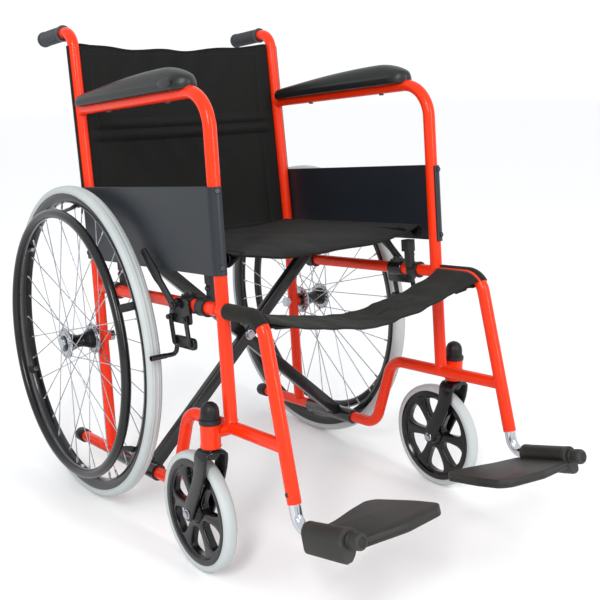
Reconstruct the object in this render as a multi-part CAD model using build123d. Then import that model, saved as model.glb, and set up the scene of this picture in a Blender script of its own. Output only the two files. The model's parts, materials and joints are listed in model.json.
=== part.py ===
"""Manual folding wheelchair: two tubular side frames, a folding cross brace, wheels, brakes and soft goods.

Axes: +X is the sitter's left, +Y is the back of the chair, +Z is up, and the floor is z = 0.
Frame sizes are given from the rear axle line before the whole frame is tipped back by SEAT_TILT.
"""
import math
import os

from build123d import *

# Overall layout, millimetres and degrees
AXLE_Y = 235.95
SEAT_TILT = 4.07
SIDE_X = 238.0

# Frame tube
TUBE_R = 11.0
TUBE_WALL = 1.5
FIT = 0.06

# Side frame, measured from the axle line (y backwards, z upwards)
BASE_Z = -232.0
BASE_BACK = 150.0
RISER_LOW_Y = -261.0
RISER_TOP_Y = -321.0
FRONT_RAIL_Z = -89.0
FRONT_Y = -454.0
SEAT_TUBE_Z = 101.0
ARM_Z = 450.0
BACK_LEAN_Z = 180.0
BACK_LEAN = 0.0554
GRIP_Z = 603.0
GRIP_END_Y = 158.0
ARM_BEND = 62.0
BASE_BEND = 45.0
SMALL_BEND = 35.0

# Footrest hanger: the line it drops along and where its tubes end
HANGER_TOP = (-561.5, 101.0)
HANGER_RAKE = 0.19
HANGER_END = 277.0
FOOT_TUBE_R = 9.42
FOOT_TUBE_TOP = 150.0
FOOT_CORNER = 316.0
FOOT_REACH = 135.0
FOOT_BEND = 24.0

# Rear wheel
WHEEL_X = 285.3
WHEEL_R = 305.0
TYRE_W = 28.0
RIM_OUT = 290.0
RIM_IN = 272.0
RIM_W = 24.0
RIM_WALL = 2.0
HANDRIM_R = 254.0
HANDRIM_TUBE = 9.0
HANDRIM_OFFSET = 33.0
HANDRIM_TABS = 6
SPOKES_PER_FLANGE = 18
SPOKE_R = 1.0
FLANGE_R = 30.0
FLANGE_T = 4.0
HUB_OUT = 34.0
HUB_IN = 27.8
AXLE_R = 6.0

# Caster
STEM_X = 275.7
STEM_BACK = -456.0
CASTER_R = 100.0
CASTER_TRAIL = 44.0
CASTER_W = 24.0
HOUSING_R = 16.5
HOUSING_LOW = 224.0
HOUSING_TOP = 263.0
STEM_R = 8.0
CROWN_TOP = 222.0
CROWN_LOW = 207.0
LEG_IN = 17.0
LEG_OUT = 23.0

# Cross brace
RAIL_X = 212.0
RAIL_Z = 178.0
RAIL_FRONT = -430.0
RAIL_BACK = -34.0
SLEEVE_R = 15.0
SLEEVE_FRONT = -192.0
SLEEVE_BACK = -42.0
BAR_A_Y = -161.0
BAR_B_Y = -139.0
BAR_DEPTH = 24.0
BAR_WIDTH = 18.0
PIVOT_Z = BASE_Z + (RAIL_Z - BASE_Z) * SIDE_X / (SIDE_X + RAIL_X)
PIVOT_R = 5.0

# Seat, back and calf strap
CLOTH = 4.0
SEAT_FRONT = -440.0
SEAT_BACK = -26.0
SLEEVE_GAP = 0.3
BACK_LOW = 175.0
BACK_TOP = 560.0
MIDDLE_GAP = 0.3
STRAP_FRONT = -556.0
STRAP_BACK = -468.0
STRAP_DROP = 42.0
STRAP_TILT = 7.5

# Side panel
PANEL_LOW = 158.0
PANEL_TOP = 298.0
PANEL_T = 3.0

# Saddles that hold the seat rails
SADDLE_Y = (-400.0, -84.0)
SADDLE_RING_R = 15.0

# Brake
BRAKE_Y = -352.0
LEVER_PIVOT = (-342.0, 102.0)
LEVER_TIP = (-245.0, 191.0)
LINK_BACK = (-318.0, 80.0)
LINK_FRONT = (-368.0, 80.0)
LINK_DROP = (-7.0, -42.0)
ROD_Y = -317.0
ROD_Z = 14.0
ROD_R = 4.0
ROD_END_X = -301.0


def tilted(shape):
    """Tip a frame part back about the rear axle and put it at its place in the chair."""
    return Location((0, AXLE_Y, WHEEL_R), (-SEAT_TILT, 0, 0)) * shape


def bar(points, radius, bend=0.0):
    """Round bar along a line or a bent line."""
    if len(points) > 2:
        path = FilletPolyline(*points, radius=bend)
    else:
        path = Line(*points)
    section = Plane(origin=path @ 0, z_dir=path % 0) * Circle(radius)
    return sweep(section, path=path)


def tube(points, radius=TUBE_R, wall=TUBE_WALL, bend=0.0):
    """Hollow round tube along a line or a bent line."""
    return bar(points, radius, bend) - bar(points, radius - wall, bend)


def rod_y(x, z, front, back, radius):
    """Round bar parallel to the frame tubes that run front to back."""
    return bar([(x, front, z), (x, back, z)], radius)


def ring_x(width, low, high, x=0.0, corner=0.0):
    """Ring about the X axis with a rectangular or rounded section."""
    if corner > 0:
        section = RectangleRounded(width, high - low, corner)
    else:
        section = Rectangle(width, high - low)
    return revolve(Pos(x, (low + high) / 2, 0) * section, axis=Axis.X)


def side_plate(outline, x_low, x_high):
    """Plate cut from an outline given as (y, z) points."""
    face = Plane.YZ * Polygon(*outline, align=None)
    return Pos(x_low, 0, 0) * extrude(face, amount=x_high - x_low)


def slot_between(start, end, width):
    """Flat round-ended shape between two end centres."""
    middle = ((start[0] + end[0]) / 2, (start[1] + end[1]) / 2)
    return SlotCenterPoint(middle, end, width)


def hex_x(across, x_low, x_high):
    """Hexagon prism along the X axis."""
    face = Plane.YZ * RegularPolygon(across / math.sqrt(3), 6)
    return Pos(x_low, 0, 0) * extrude(face, amount=x_high - x_low)


# Paths of the frame tubes on the sitter's right side

def base_path():
    front = hanger_point(HANGER_END * 0.69)
    return [
        (-SIDE_X, BASE_BACK, BASE_Z),
        (-SIDE_X, RISER_LOW_Y, BASE_Z),
        (-SIDE_X, RISER_TOP_Y, FRONT_RAIL_Z),
        (-SIDE_X, front[0], FRONT_RAIL_Z),
    ]


def back_path():
    top_y = BACK_LEAN * (GRIP_Z - BACK_LEAN_Z)
    return [
        (-SIDE_X, 0, BASE_Z),
        (-SIDE_X, 0, BACK_LEAN_Z),
        (-SIDE_X, top_y, GRIP_Z),
        (-SIDE_X, GRIP_END_Y, GRIP_Z),
    ]


def post_y(z):
    """Centre of the leaning upper back post at a height."""
    return BACK_LEAN * (z - BACK_LEAN_Z)


def arm_path():
    return [
        (-SIDE_X, post_y(ARM_Z), ARM_Z),
        (-SIDE_X, FRONT_Y, ARM_Z),
        (-SIDE_X, FRONT_Y, FRONT_RAIL_Z),
    ]


def hanger_point(distance, forward=0.0):
    """Point (y, z) at a distance down the hanger and a distance forward along the footrest."""
    length = math.hypot(1.0, HANGER_RAKE)
    down = (-HANGER_RAKE / length, -1.0 / length)
    ahead = (-1.0 / length, HANGER_RAKE / length)
    y = HANGER_TOP[0] + distance * down[0] + forward * ahead[0]
    z = HANGER_TOP[1] + distance * down[1] + forward * ahead[1]
    return (y, z)


def seat_tube_path():
    end = hanger_point(HANGER_END)
    return [
        (-SIDE_X, 0, SEAT_TUBE_Z),
        (-SIDE_X, HANGER_TOP[0], SEAT_TUBE_Z),
        (-SIDE_X, end[0], end[1]),
    ]


def foot_path():
    top = hanger_point(FOOT_TUBE_TOP)
    corner = hanger_point(FOOT_CORNER)
    tip = hanger_point(FOOT_CORNER, FOOT_REACH)
    return [
        (-SIDE_X, top[0], top[1]),
        (-SIDE_X, corner[0], corner[1]),
        (-SIDE_X, tip[0], tip[1]),
    ]


# Side frame

def housing_place():
    return Pos(-STEM_X, AXLE_Y + STEM_BACK, 0)


def stub_path():
    return [
        (-SIDE_X, AXLE_Y + STEM_BACK - 3, 247),
        (-STEM_X, AXLE_Y + STEM_BACK - 3, 247),
    ]


def base_outer():
    solid = tilted(bar(base_path(), TUBE_R, BASE_BEND))
    solid += bar(stub_path(), TUBE_R - 1)
    return solid


def base_tube():
    """Low frame tube that steps up to the front, with the upright caster housing welded to it."""
    height = HOUSING_TOP - HOUSING_LOW
    housing = housing_place() * Pos(0, 0, HOUSING_LOW + height / 2) * Cylinder(HOUSING_R, height)
    solid = base_outer() + housing
    solid -= tilted(bar(base_path(), TUBE_R - TUBE_WALL, BASE_BEND))
    solid -= housing_place() * Pos(0, 0, HOUSING_LOW + height / 2) * Cylinder(STEM_R + FIT, height + 2)
    solid -= tilted(bar(seat_tube_path(), TUBE_R, SMALL_BEND))
    return solid


def back_post():
    """Rear upright from the base tube to the push handle, with the axle boss across it."""
    solid = bar(back_path(), TUBE_R, SMALL_BEND)
    boss = Rot(0, 90, 0) * Cylinder(10.0, 27.0)
    solid += Pos(-SIDE_X, 0, 0) * boss
    solid -= bar(back_path(), TUBE_R - TUBE_WALL, SMALL_BEND)
    solid += Pos(-SIDE_X, 0, 0) * boss
    solid -= Pos(-SIDE_X, 0, 0) * Rot(0, 90, 0) * Cylinder(AXLE_R + 0.1, 40.0)
    solid -= bar(base_path(), TUBE_R, BASE_BEND)
    return tilted(solid)


def screw_hole_z():
    return [PANEL_LOW + 12, PANEL_TOP - 7]


def arm_tube():
    """Arm tube from the back post, bent down into the front post."""
    solid = tube(arm_path(), bend=ARM_BEND)
    solid -= bar(back_path(), TUBE_R, SMALL_BEND)
    for y in pad_screw_y():
        solid -= Pos(-SIDE_X, y, ARM_Z) * Cylinder(2.3, 40.0)
    solid = tilted(solid)
    solid -= base_outer()
    return solid


def seat_tube():
    """Seat-height side tube: a rear length to the front post, then the length bent down as the hanger."""
    solid = tube(seat_tube_path(), bend=SMALL_BEND)
    solid -= bar(back_path(), TUBE_R, SMALL_BEND)
    solid -= bar(arm_path(), TUBE_R, ARM_BEND)
    return tilted(solid)


def hand_grip():
    """Grooved push-handle grip, closed at the back."""
    length = 102.0
    grip = Pos(0, 0, length / 2) * Cylinder(15.0, length)
    for i in range(9):
        groove = Pos(0, 0, 14 + i * 9.0) * (Cylinder(16.0, 3.0) - Cylinder(14.0, 3.0))
        grip -= groove
    grip -= Pos(0, 0, (length - 4) / 2) * Cylinder(TUBE_R + FIT, length - 4 + 0.2)
    return tilted(Location((-SIDE_X, GRIP_END_Y - length + 4, GRIP_Z), (-90, 0, 0)) * grip)


def tip_cap():
    """Rubber cap on the rear end of the base tube."""
    length = 32.0
    cap = Pos(0, 0, length / 2) * Cylinder(14.0, length)
    cap = fillet(cap.edges().group_by(Axis.Z)[-1], 4.0)
    cap -= Pos(0, 0, (length - 6) / 2) * Cylinder(TUBE_R + FIT, length - 6 + 0.2)
    return tilted(Location((-SIDE_X, BASE_BACK - length + 6, BASE_Z), (-90, 0, 0)) * cap)


def pad_screw_y():
    return [-110.0, -330.0]


def armrest_pad():
    """Long armrest pad, thicker at the front, sitting on the arm tube."""
    low = ARM_Z + TUBE_R
    outline = [
        (-3, low),
        (-3, low + 9),
        (-70, low + 20),
        (-150, low + 28),
        (-320, low + 33),
        (-385, low + 30),
        (-403, low + 18),
        (-403, low),
    ]
    pad = side_plate(outline, -SIDE_X - 26, -SIDE_X + 26)
    pad -= bar(arm_path(), TUBE_R + 0.05, ARM_BEND)
    for y in pad_screw_y():
        pad -= Pos(-SIDE_X, y, low) * Cylinder(2.05, 20.2)
    return tilted(pad)


def side_panel():
    """Thin side panel from the back post, wrapped round the front post."""
    inner = TUBE_R + 0.2
    outer = inner + PANEL_T
    flat = Pos(-SIDE_X - inner - PANEL_T / 2, (FRONT_Y + 6) / 2, 0) * Rectangle(PANEL_T, -FRONT_Y + 6)
    wrap = Pos(-SIDE_X, FRONT_Y) * (Circle(outer) - Circle(inner))
    wrap -= Pos(-SIDE_X, FRONT_Y + 25) * Rectangle(60, 50)
    wrap -= Pos(-SIDE_X + 25, FRONT_Y - 5) * Rectangle(40, 60)
    profile = flat + wrap
    panel = extrude(Pos(0, 0, PANEL_LOW) * profile, amount=PANEL_TOP - PANEL_LOW)
    for z in screw_hole_z():
        panel -= screw_axis(z) * Pos(0, 0, 12) * Cylinder(2.1, 12.0)
        panel -= Pos(-SIDE_X - 12, 2, z) * Rot(0, 90, 0) * Cylinder(2.1, 12.0)
    return tilted(panel)


def screw_axis(z):
    """Place of a panel screw on the outer front of the front post, pointing outwards."""
    return Location((-SIDE_X, FRONT_Y, z), (0, 0, -15)) * Rot(90, 0, 0)


def screw():
    """Dome head and short shank along +Z; the head rests at z = 0."""
    head = Pos(0, 0, 1.25) * Cylinder(4.5, 2.5)
    head = fillet(head.edges().group_by(Axis.Z)[-1], 1.5)
    return head + Pos(0, 0, -1.4) * Cylinder(2.0, 2.8)


def frame_screws():
    """Panel screws on both posts and the pad screws under the arm tube."""
    solids = []
    for z in screw_hole_z():
        solids.append(tilted(screw_axis(z) * Pos(0, 0, TUBE_R + 0.2 + PANEL_T) * screw()))
        outward = Location((-SIDE_X - TUBE_R - 0.2 - PANEL_T, 2, z), (0, -90, 0))
        solids.append(tilted(outward * screw()))
    for y in pad_screw_y():
        head = Pos(0, 0, -1.25) * Cylinder(4.5, 2.5)
        shank = Pos(0, 0, 15) * Cylinder(2.0, 30.0)
        solids.append(tilted(Pos(-SIDE_X, y, ARM_Z - TUBE_R - 0.1) * (head + shank)))
    return Compound(children=solids)


def caster_cap():
    """Stepped dome cap on the caster housing."""
    base = Pos(0, 0, 4) * Cylinder(HOUSING_R + 1.5, 8.0)
    dome = Pos(0, 0, 21) * Cylinder(HOUSING_R - 1.0, 28.0)
    dome = fillet(dome.edges().group_by(Axis.Z)[-1], 12.0)
    return housing_place() * Pos(0, 0, HOUSING_TOP + 0.05) * (base + dome)


def seat_saddles():
    """Two black uprights clipped on the seat tube, each with a cradle for the seat rail."""
    solids = []
    for y in SADDLE_Y:
        ring = rod_y(-SIDE_X, SEAT_TUBE_Z, y - 11, y + 11, SADDLE_RING_R)
        stem = Pos(-222, y, (SEAT_TUBE_Z + RAIL_Z) / 2 - 5) * Box(12, 14, RAIL_Z - SEAT_TUBE_Z - 10)
        cradle = Pos(-RAIL_X, y, RAIL_Z - 14) * Box(30, 22, 24)
        body = ring + stem + cradle
        body -= rod_y(-SIDE_X, SEAT_TUBE_Z, y - 20, y + 20, TUBE_R + 0.02)
        body -= rod_y(-RAIL_X, RAIL_Z, y - 20, y + 20, TUBE_R + 0.35)
        solids.append(tilted(body))
    return Compound(children=solids)


def rear_axle():
    """Axle bolt through the boss on the back post, with spacer and inboard nut."""
    end = -WHEEL_X - HUB_OUT
    hub_face = -WHEEL_X + HUB_IN
    head = hex_x(19.0, end - 7.5, end - 0.5)
    shank = Pos((end - 215) / 2 - 3, 0, 0) * Rot(0, 90, 0) * Cylinder(AXLE_R, -end - 215 + 6)
    spacer = Pos((hub_face - 251.5) / 2, 0, 0) * Rot(0, 90, 0) * Cylinder(10.0, -251.5 - hub_face - 0.6)
    nut = hex_x(19.0, -224.4, -215.0)
    return tilted(head + shank + spacer + nut)


# Brake

def brake_clamp():
    """Clamp round the seat tube with a plate that carries the brake pivots."""
    ring = rod_y(-SIDE_X, SEAT_TUBE_Z, BRAKE_Y - 18, BRAKE_Y + 18, 14.5)
    outline = [
        (LINK_FRONT[0] - 9, 70),
        (LINK_BACK[0] + 9, 70),
        (LINK_BACK[0] + 9, 90),
        (BRAKE_Y + 18, 112),
        (BRAKE_Y - 18, 112),
        (LINK_FRONT[0] - 9, 92),
    ]
    plate = side_plate(outline, -255, -249)
    body = ring + plate
    body -= rod_y(-SIDE_X, SEAT_TUBE_Z, BRAKE_Y - 60, BRAKE_Y + 60, TUBE_R + 0.02)
    for y, z in (LINK_BACK, LINK_FRONT):
        pin = Pos(-257.4, y, z) * Rot(0, 90, 0) * Cylinder(2.5, 5.2)
        body += pin
    body += Pos(-260.6, LEVER_PIVOT[0], LEVER_PIVOT[1]) * Rot(0, 90, 0) * Cylinder(4.0, 11.4)
    return tilted(body)


def brake_lever():
    """Long flat brake handle."""
    dy = LEVER_TIP[0] - LEVER_PIVOT[0]
    dz = LEVER_TIP[1] - LEVER_PIVOT[1]
    length = math.hypot(dy, dz)
    angle = math.degrees(math.atan2(dz, dy))
    handle = slot_between((length * 0.42, 0), (length - 10, 0), 21.0)
    arm = slot_between((0, 0), (length * 0.6, 0), 15.0)
    face = handle + arm
    blade = extrude(Plane.YZ * (Rot(0, 0, angle) * face), amount=4.5)
    blade -= Rot(0, 90, 0) * Cylinder(4.05, 30.0)
    return tilted(Pos(-266.3, LEVER_PIVOT[0], LEVER_PIVOT[1]) * blade)


def link_at(pivot):
    """Short brake link hanging from a pivot, with a bore at each end."""
    end = (pivot[0] + LINK_DROP[0], pivot[1] + LINK_DROP[1])
    face = Plane.YZ * slot_between(pivot, end, 10.0)
    blade = Pos(-259.7, 0, 0) * extrude(face, amount=3.8)
    for y, z in (pivot, end):
        blade -= Pos(-258, y, z) * Rot(0, 90, 0) * Cylinder(2.55, 12.0)
    return tilted(blade)


def brake_shoe():
    """Oval brake body hung on the two links, with the bent rod that reaches over the tyre."""
    ends = []
    for pivot in (LINK_BACK, LINK_FRONT):
        ends.append((pivot[0] + LINK_DROP[0], pivot[1] + LINK_DROP[1]))
    face = Plane.YZ * slot_between(ends[0], ends[1], 20.0)
    body = Pos(-255.5, 0, 0) * extrude(face, amount=8.0)
    for y, z in ends:
        body += Pos(-257.6, y, z) * Rot(0, 90, 0) * Cylinder(2.5, 4.6)
    rod = bar(
        [(-251.5, ends[0][0], ends[0][1]), (-251.5, ROD_Y, ROD_Z), (ROD_END_X, ROD_Y, ROD_Z)],
        ROD_R,
        8.0,
    )
    return tilted(body + rod)


# Rear wheel, built about the X axis with +X towards the middle of the chair

def wheel_place(shape):
    return Pos(-WHEEL_X, AXLE_Y, WHEEL_R) * shape


def tyre():
    """Solid tyre with a rib seated in the rim."""
    tread = ring_x(TYRE_W, RIM_OUT + 0.05, WHEEL_R, corner=6.0)
    rib = ring_x(RIM_W - 2 * RIM_WALL - 0.2, RIM_OUT - 12.0, RIM_OUT + 1.0)
    return wheel_place(tread + rib)


def rim_spoke(index, flange, lead):
    """One wire spoke from a hub flange to the rim."""
    step = 360.0 / SPOKES_PER_FLANGE
    side = 1.0 if lead else -1.0
    shift = step / 2 if flange > 0 else 0.0
    angle = math.radians(index * 2 * step + shift + (step if lead else 0.0))
    swing = math.radians(58.0 * side)
    hub_angle = angle + swing
    near = FLANGE_R + 1.6
    far = RIM_IN - 0.4
    x_hub = flange + 1.9 * side
    x_rim = 0.08 * flange + 1.4 * side
    start = (x_hub, near * math.cos(hub_angle), near * math.sin(hub_angle))
    end = (x_rim, far * math.cos(angle), far * math.sin(angle))
    return bar([start, end], SPOKE_R)


def flange_x():
    """Middle planes of the outer and inner hub flanges, from the rim's middle plane."""
    return [-HUB_OUT + FLANGE_T / 2, HUB_IN - FLANGE_T / 2]


def wheel_rim():
    """Channel rim that holds the tyre."""
    rim = ring_x(RIM_W, RIM_IN, RIM_OUT)
    rim -= ring_x(RIM_W - 2 * RIM_WALL, RIM_IN + RIM_WALL, RIM_OUT + 1.0)
    return wheel_place(rim)


def spoked_hub():
    """Spool hub with two flanges and a plain bore, and the wire spokes laced to it."""
    width = HUB_OUT + HUB_IN
    body = Pos((HUB_IN - HUB_OUT) / 2, 0, 0) * Rot(0, 90, 0) * Cylinder(13.0, width)
    for x in flange_x():
        body += ring_x(FLANGE_T, 0.0, FLANGE_R, x=x)
    body -= Rot(0, 90, 0) * Cylinder(AXLE_R + FIT, 200.0)
    solids = [wheel_place(body)]
    for flange in flange_x():
        for index in range(SPOKES_PER_FLANGE // 2):
            solids.append(wheel_place(rim_spoke(index, flange, True)))
            solids.append(wheel_place(rim_spoke(index, flange, False)))
    return Compound(children=solids)


def handrim():
    """Hand rim tube on short flat tabs that reach the rim."""
    ring = Pos(-HANDRIM_OFFSET, 0, 0) * Rot(0, 90, 0) * Torus(HANDRIM_R, HANDRIM_TUBE)
    void = Pos(-HANDRIM_OFFSET, 0, 0) * Rot(0, 90, 0) * Torus(HANDRIM_R, HANDRIM_TUBE - TUBE_WALL)
    outline = [
        (-HANDRIM_OFFSET - 3, HANDRIM_R + 4),
        (-HANDRIM_OFFSET + 6, HANDRIM_R + 2),
        (-6.0, RIM_IN - 4.0),
        (4.0, RIM_IN - 4.0),
        (4.0, RIM_IN - 0.9),
        (-8.0, RIM_IN - 0.9),
    ]
    face = Polygon(*outline, align=None)
    for i in range(HANDRIM_TABS):
        turn = Rot(360.0 * i / HANDRIM_TABS + 35.0, 0, 0)
        ring += turn * extrude(face, amount=8.0, both=True)
    ring -= void
    vent = Pos(-HANDRIM_OFFSET, HANDRIM_R - HANDRIM_TUBE, 0) * Rot(90, 0, 0) * Cylinder(1.5, 6.0)
    return wheel_place(ring - vent)


# Caster

def caster_fork():
    """One-piece fork with its stem above the crown and the wheel bolt through its legs."""
    front = [
        (-15, CROWN_TOP),
        (-14, 190),
        (-8, 160),
        (10, 128),
        (32, 96),
    ]
    back = [
        (55, 107),
        (38, 135),
        (22, 165),
        (16, 190),
        (17, CROWN_TOP),
    ]
    leg = side_plate(front + back, LEG_IN, LEG_OUT)
    leg += Pos((LEG_IN + LEG_OUT) / 2, CASTER_TRAIL, CASTER_R) * Rot(0, 90, 0) * Cylinder(13.0, LEG_OUT - LEG_IN)
    crown = Pos(0, 1, (CROWN_TOP + CROWN_LOW) / 2) * Box(2 * LEG_OUT, 32, CROWN_TOP - CROWN_LOW)
    stem = Pos(0, 0, (CROWN_TOP + HOUSING_TOP) / 2 - 1) * Cylinder(STEM_R, HOUSING_TOP - CROWN_TOP - 1)
    shoulder = Pos(0, 0, CROWN_TOP) * Cylinder(13.0, 3.2)
    bolt = Pos(0, CASTER_TRAIL, CASTER_R) * Rot(0, 90, 0) * Cylinder(5.0, 2 * LEG_OUT + 6)
    fork = leg + mirror(leg, about=Plane.YZ) + crown + stem + shoulder + bolt
    return housing_place() * fork


def caster_center(shape):
    return housing_place() * Pos(0, CASTER_TRAIL, CASTER_R) * shape


def caster_core():
    """Six-spoke caster wheel core with a plain bore."""
    core = ring_x(20.0, 77.0, CASTER_R - 12.1)
    core += Rot(0, 90, 0) * Cylinder(17.0, 2 * LEG_IN - 1.2)
    for i in range(6):
        core += Rot(60.0 * i, 0, 0) * Pos(0, 47, 0) * Box(12, 66, 10)
    core -= Rot(0, 90, 0) * Cylinder(5.0 + FIT, 60.0)
    return caster_center(core)


def caster_tyre():
    """Solid caster tyre."""
    return caster_center(ring_x(CASTER_W, CASTER_R - 12.0, CASTER_R, corner=5.5))


# Footrest

def footrest_tube():
    """Chrome tube that slides in the hanger and turns forward to carry the footplate, with its end plug."""
    solid = bar(foot_path(), FOOT_TUBE_R, FOOT_BEND)
    solid -= bar(foot_path(), FOOT_TUBE_R - TUBE_WALL, FOOT_BEND)
    start = hanger_point(FOOT_CORNER, FOOT_REACH - 14)
    end = hanger_point(FOOT_CORNER, FOOT_REACH + 10)
    plug = bar([(-SIDE_X, start[0], start[1]), (-SIDE_X, end[0], end[1])], 11.5)
    return tilted(solid + plug)


def foot_frame():
    """Place whose X is outboard to inboard, Y is forward along the barrel and Z is up from the plate."""
    corner = hanger_point(FOOT_CORNER)
    plane = Plane(
        origin=(-SIDE_X, corner[0], corner[1]),
        x_dir=(1, 0, 0),
        z_dir=(0, HANGER_RAKE, 1.0),
    )
    return plane.location


def footplate():
    """Footplate with the barrel that turns on the footrest tube; inboard is +X."""
    length = 95.0
    middle = -25.0 - length / 2
    barrel = Pos(0, middle, 0) * Rot(90, 0, 0) * Cylinder(15.5, length)
    cheek = Pos(-6, middle, -16) * Box(19, length, 34)
    outline = [
        (6, -26),
        (14, -16),
        (60, -13),
        (105, 4),
        (142, 12),
        (157, 0),
        (172, -70),
        (174, -118),
        (160, -132),
        (90, -138),
        (6, -119),
    ]
    plate = extrude(Plane.XY.offset(-18.0) * Polygon(*outline, align=None), amount=14.0, dir=(0, 0, 1))
    plate = fillet(plate.edges().filter_by(Axis.Z), 3.0)
    body = barrel + cheek + plate
    body -= Pos(0, middle, 0) * Rot(90, 0, 0) * Cylinder(FOOT_TUBE_R + 0.08, length + 60)
    return tilted(foot_frame() * body)


# Cross brace

def cross_bar(y, top_x):
    """One brace member: sleeve on a base tube, square bar and the seat rail at its upper end."""
    side = 1.0 if top_x > 0 else -1.0
    low = (-side * SIDE_X, BASE_Z)
    high = (top_x, RAIL_Z)
    run = math.hypot(high[0] - low[0], high[1] - low[1])
    angle = math.degrees(math.atan2(high[1] - low[1], high[0] - low[0]))
    middle = ((low[0] + high[0]) / 2, y, (low[1] + high[1]) / 2)
    box = Box(run - 12, BAR_WIDTH, BAR_DEPTH) - Box(run - 40, BAR_WIDTH - 3, BAR_DEPTH - 3)
    solid = Location(middle, (0, -angle, 0)) * box
    solid += rod_y(low[0], low[1], SLEEVE_FRONT, SLEEVE_BACK, SLEEVE_R)
    solid += rod_y(high[0], high[1], RAIL_FRONT, RAIL_BACK, TUBE_R)
    solid -= rod_y(low[0], low[1], SLEEVE_FRONT - 9, SLEEVE_BACK + 9, TUBE_R + FIT)
    solid -= rod_y(high[0], high[1], RAIL_FRONT - 9, RAIL_BACK + 9, TUBE_R - TUBE_WALL)
    return solid


def pivot_rod(radius, front, back):
    return rod_y(0.0, PIVOT_Z, front, back, radius)


def crossbar_a():
    """Front brace member, from the right base tube to the left seat rail."""
    solid = cross_bar(BAR_A_Y, RAIL_X)
    solid -= pivot_rod(PIVOT_R + 0.02, BAR_A_Y - 15, BAR_A_Y + 15)
    return tilted(solid)


def crossbar_b():
    """Rear brace member, from the left base tube to the right seat rail."""
    solid = cross_bar(BAR_B_Y, -RAIL_X)
    solid -= pivot_rod(PIVOT_R + FIT, BAR_B_Y - 15, BAR_B_Y + 15)
    return tilted(solid)


def cross_pivot_bolt():
    """Bolt through both brace members with head, washer and nut."""
    front = BAR_A_Y - BAR_WIDTH / 2
    back = BAR_B_Y + BAR_WIDTH / 2
    solid = pivot_rod(PIVOT_R, front - 8, back + 9)
    solid += pivot_rod(9.0, front - 6.5, front - 0.05)
    solid += pivot_rod(8.0, back + 0.4, back + 8)
    washer = pivot_rod(9.5, BAR_A_Y + BAR_WIDTH / 2 + 0.05, BAR_B_Y - BAR_WIDTH / 2 - 0.4)
    return tilted(solid + washer)


# Soft goods

def seat_half():
    """Half of the seat sling: a sleeve round the seat rail and the cloth to the middle."""
    top = RAIL_Z + TUBE_R + SLEEVE_GAP
    depth = SEAT_BACK - SEAT_FRONT
    outer = TUBE_R + SLEEVE_GAP + 2.0
    sleeve = rod_y(-RAIL_X, RAIL_Z, SEAT_FRONT, SEAT_BACK, outer)
    cloth = Pos(-RAIL_X / 2, (SEAT_FRONT + SEAT_BACK) / 2, top + CLOTH / 2 - 2) * Box(RAIL_X, depth, CLOTH)
    body = sleeve + cloth
    body -= rod_y(-RAIL_X, RAIL_Z, SEAT_FRONT - 5, SEAT_BACK + 5, TUBE_R + 0.08)
    for y in SADDLE_Y:
        body -= Pos(-RAIL_X, y, RAIL_Z - 14.5) * Box(34, 23, 28)
    body -= Pos(-MIDDLE_GAP / 2 + 5, (SEAT_FRONT + SEAT_BACK) / 2, top) * Box(10, depth + 2, 40)
    for y, width in ((BAR_A_Y, BAR_WIDTH + 3), (BAR_B_Y, BAR_WIDTH + 3)):
        body -= Pos(-RAIL_X + 10, y, RAIL_Z - 9) * Box(60, width, 34)
    return tilted(body)


def back_half():
    """Half of the back sling: cloth from behind the post to the middle."""
    slope = math.degrees(math.atan(BACK_LEAN))
    height = (BACK_TOP - BACK_LOW) / math.cos(math.radians(slope))
    inner = TUBE_R + SLEEVE_GAP
    outer = inner + 2.0
    hook = Pos(-SIDE_X, 0) * (Circle(outer) - Circle(inner))
    hook -= Pos(-SIDE_X, -20) * Rectangle(60, 40)
    hook -= Pos(-SIDE_X - 12, 0) * Rectangle(20, 60)
    span = Pos((-SIDE_X + inner) / 2, 2) * Rectangle(SIDE_X - inner, CLOTH)
    profile = hook + span
    profile -= Pos(-MIDDLE_GAP / 2 + 5, 0) * Rectangle(10, 40)
    cloth = extrude(profile, amount=height)
    return tilted(Location((0, post_y(BACK_LOW), BACK_LOW), (-slope, 0, 0)) * cloth)


def strap_sleeve(radius):
    """Round bar along the part of the right seat tube that the calf strap wraps."""
    end = hanger_point(60.0)
    run = [
        (-SIDE_X, STRAP_BACK, SEAT_TUBE_Z),
        (-SIDE_X, HANGER_TOP[0], HANGER_TOP[1]),
        (-SIDE_X, end[0], end[1]),
    ]
    return bar(run, radius, SMALL_BEND)


def calf_strap():
    """Calf strap looped round both seat tubes down to their bends, hanging slack between them."""
    inner = TUBE_R + SLEEVE_GAP
    outer = inner + 2.5
    depth = STRAP_BACK - STRAP_FRONT
    half = SIDE_X - inner
    radius = (half * half + STRAP_DROP * STRAP_DROP) / (2 * STRAP_DROP)
    profile = Pos(0, radius - STRAP_DROP) * (Circle(radius + 1.5) - Circle(radius - 1.5))
    profile &= Pos(0, -STRAP_DROP / 2) * Rectangle(2 * half, STRAP_DROP + 12)
    band = Rot(STRAP_TILT, 0, 0) * extrude(Plane.XZ * profile, amount=depth)
    strap = Pos(0, STRAP_BACK, SEAT_TUBE_Z) * band
    reach = Pos(0, (STRAP_BACK + STRAP_FRONT) / 2, SEAT_TUBE_Z) * Box(3 * SIDE_X, depth, 120)
    sleeve = strap_sleeve(outer) & reach
    strap += sleeve + mirrored(sleeve)
    strap -= strap_sleeve(inner)
    strap -= mirrored(strap_sleeve(inner))
    return tilted(strap)


def mirrored(shape):
    """The same piece on the sitter's left side."""
    return mirror(shape, about=Plane.YZ)


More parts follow.
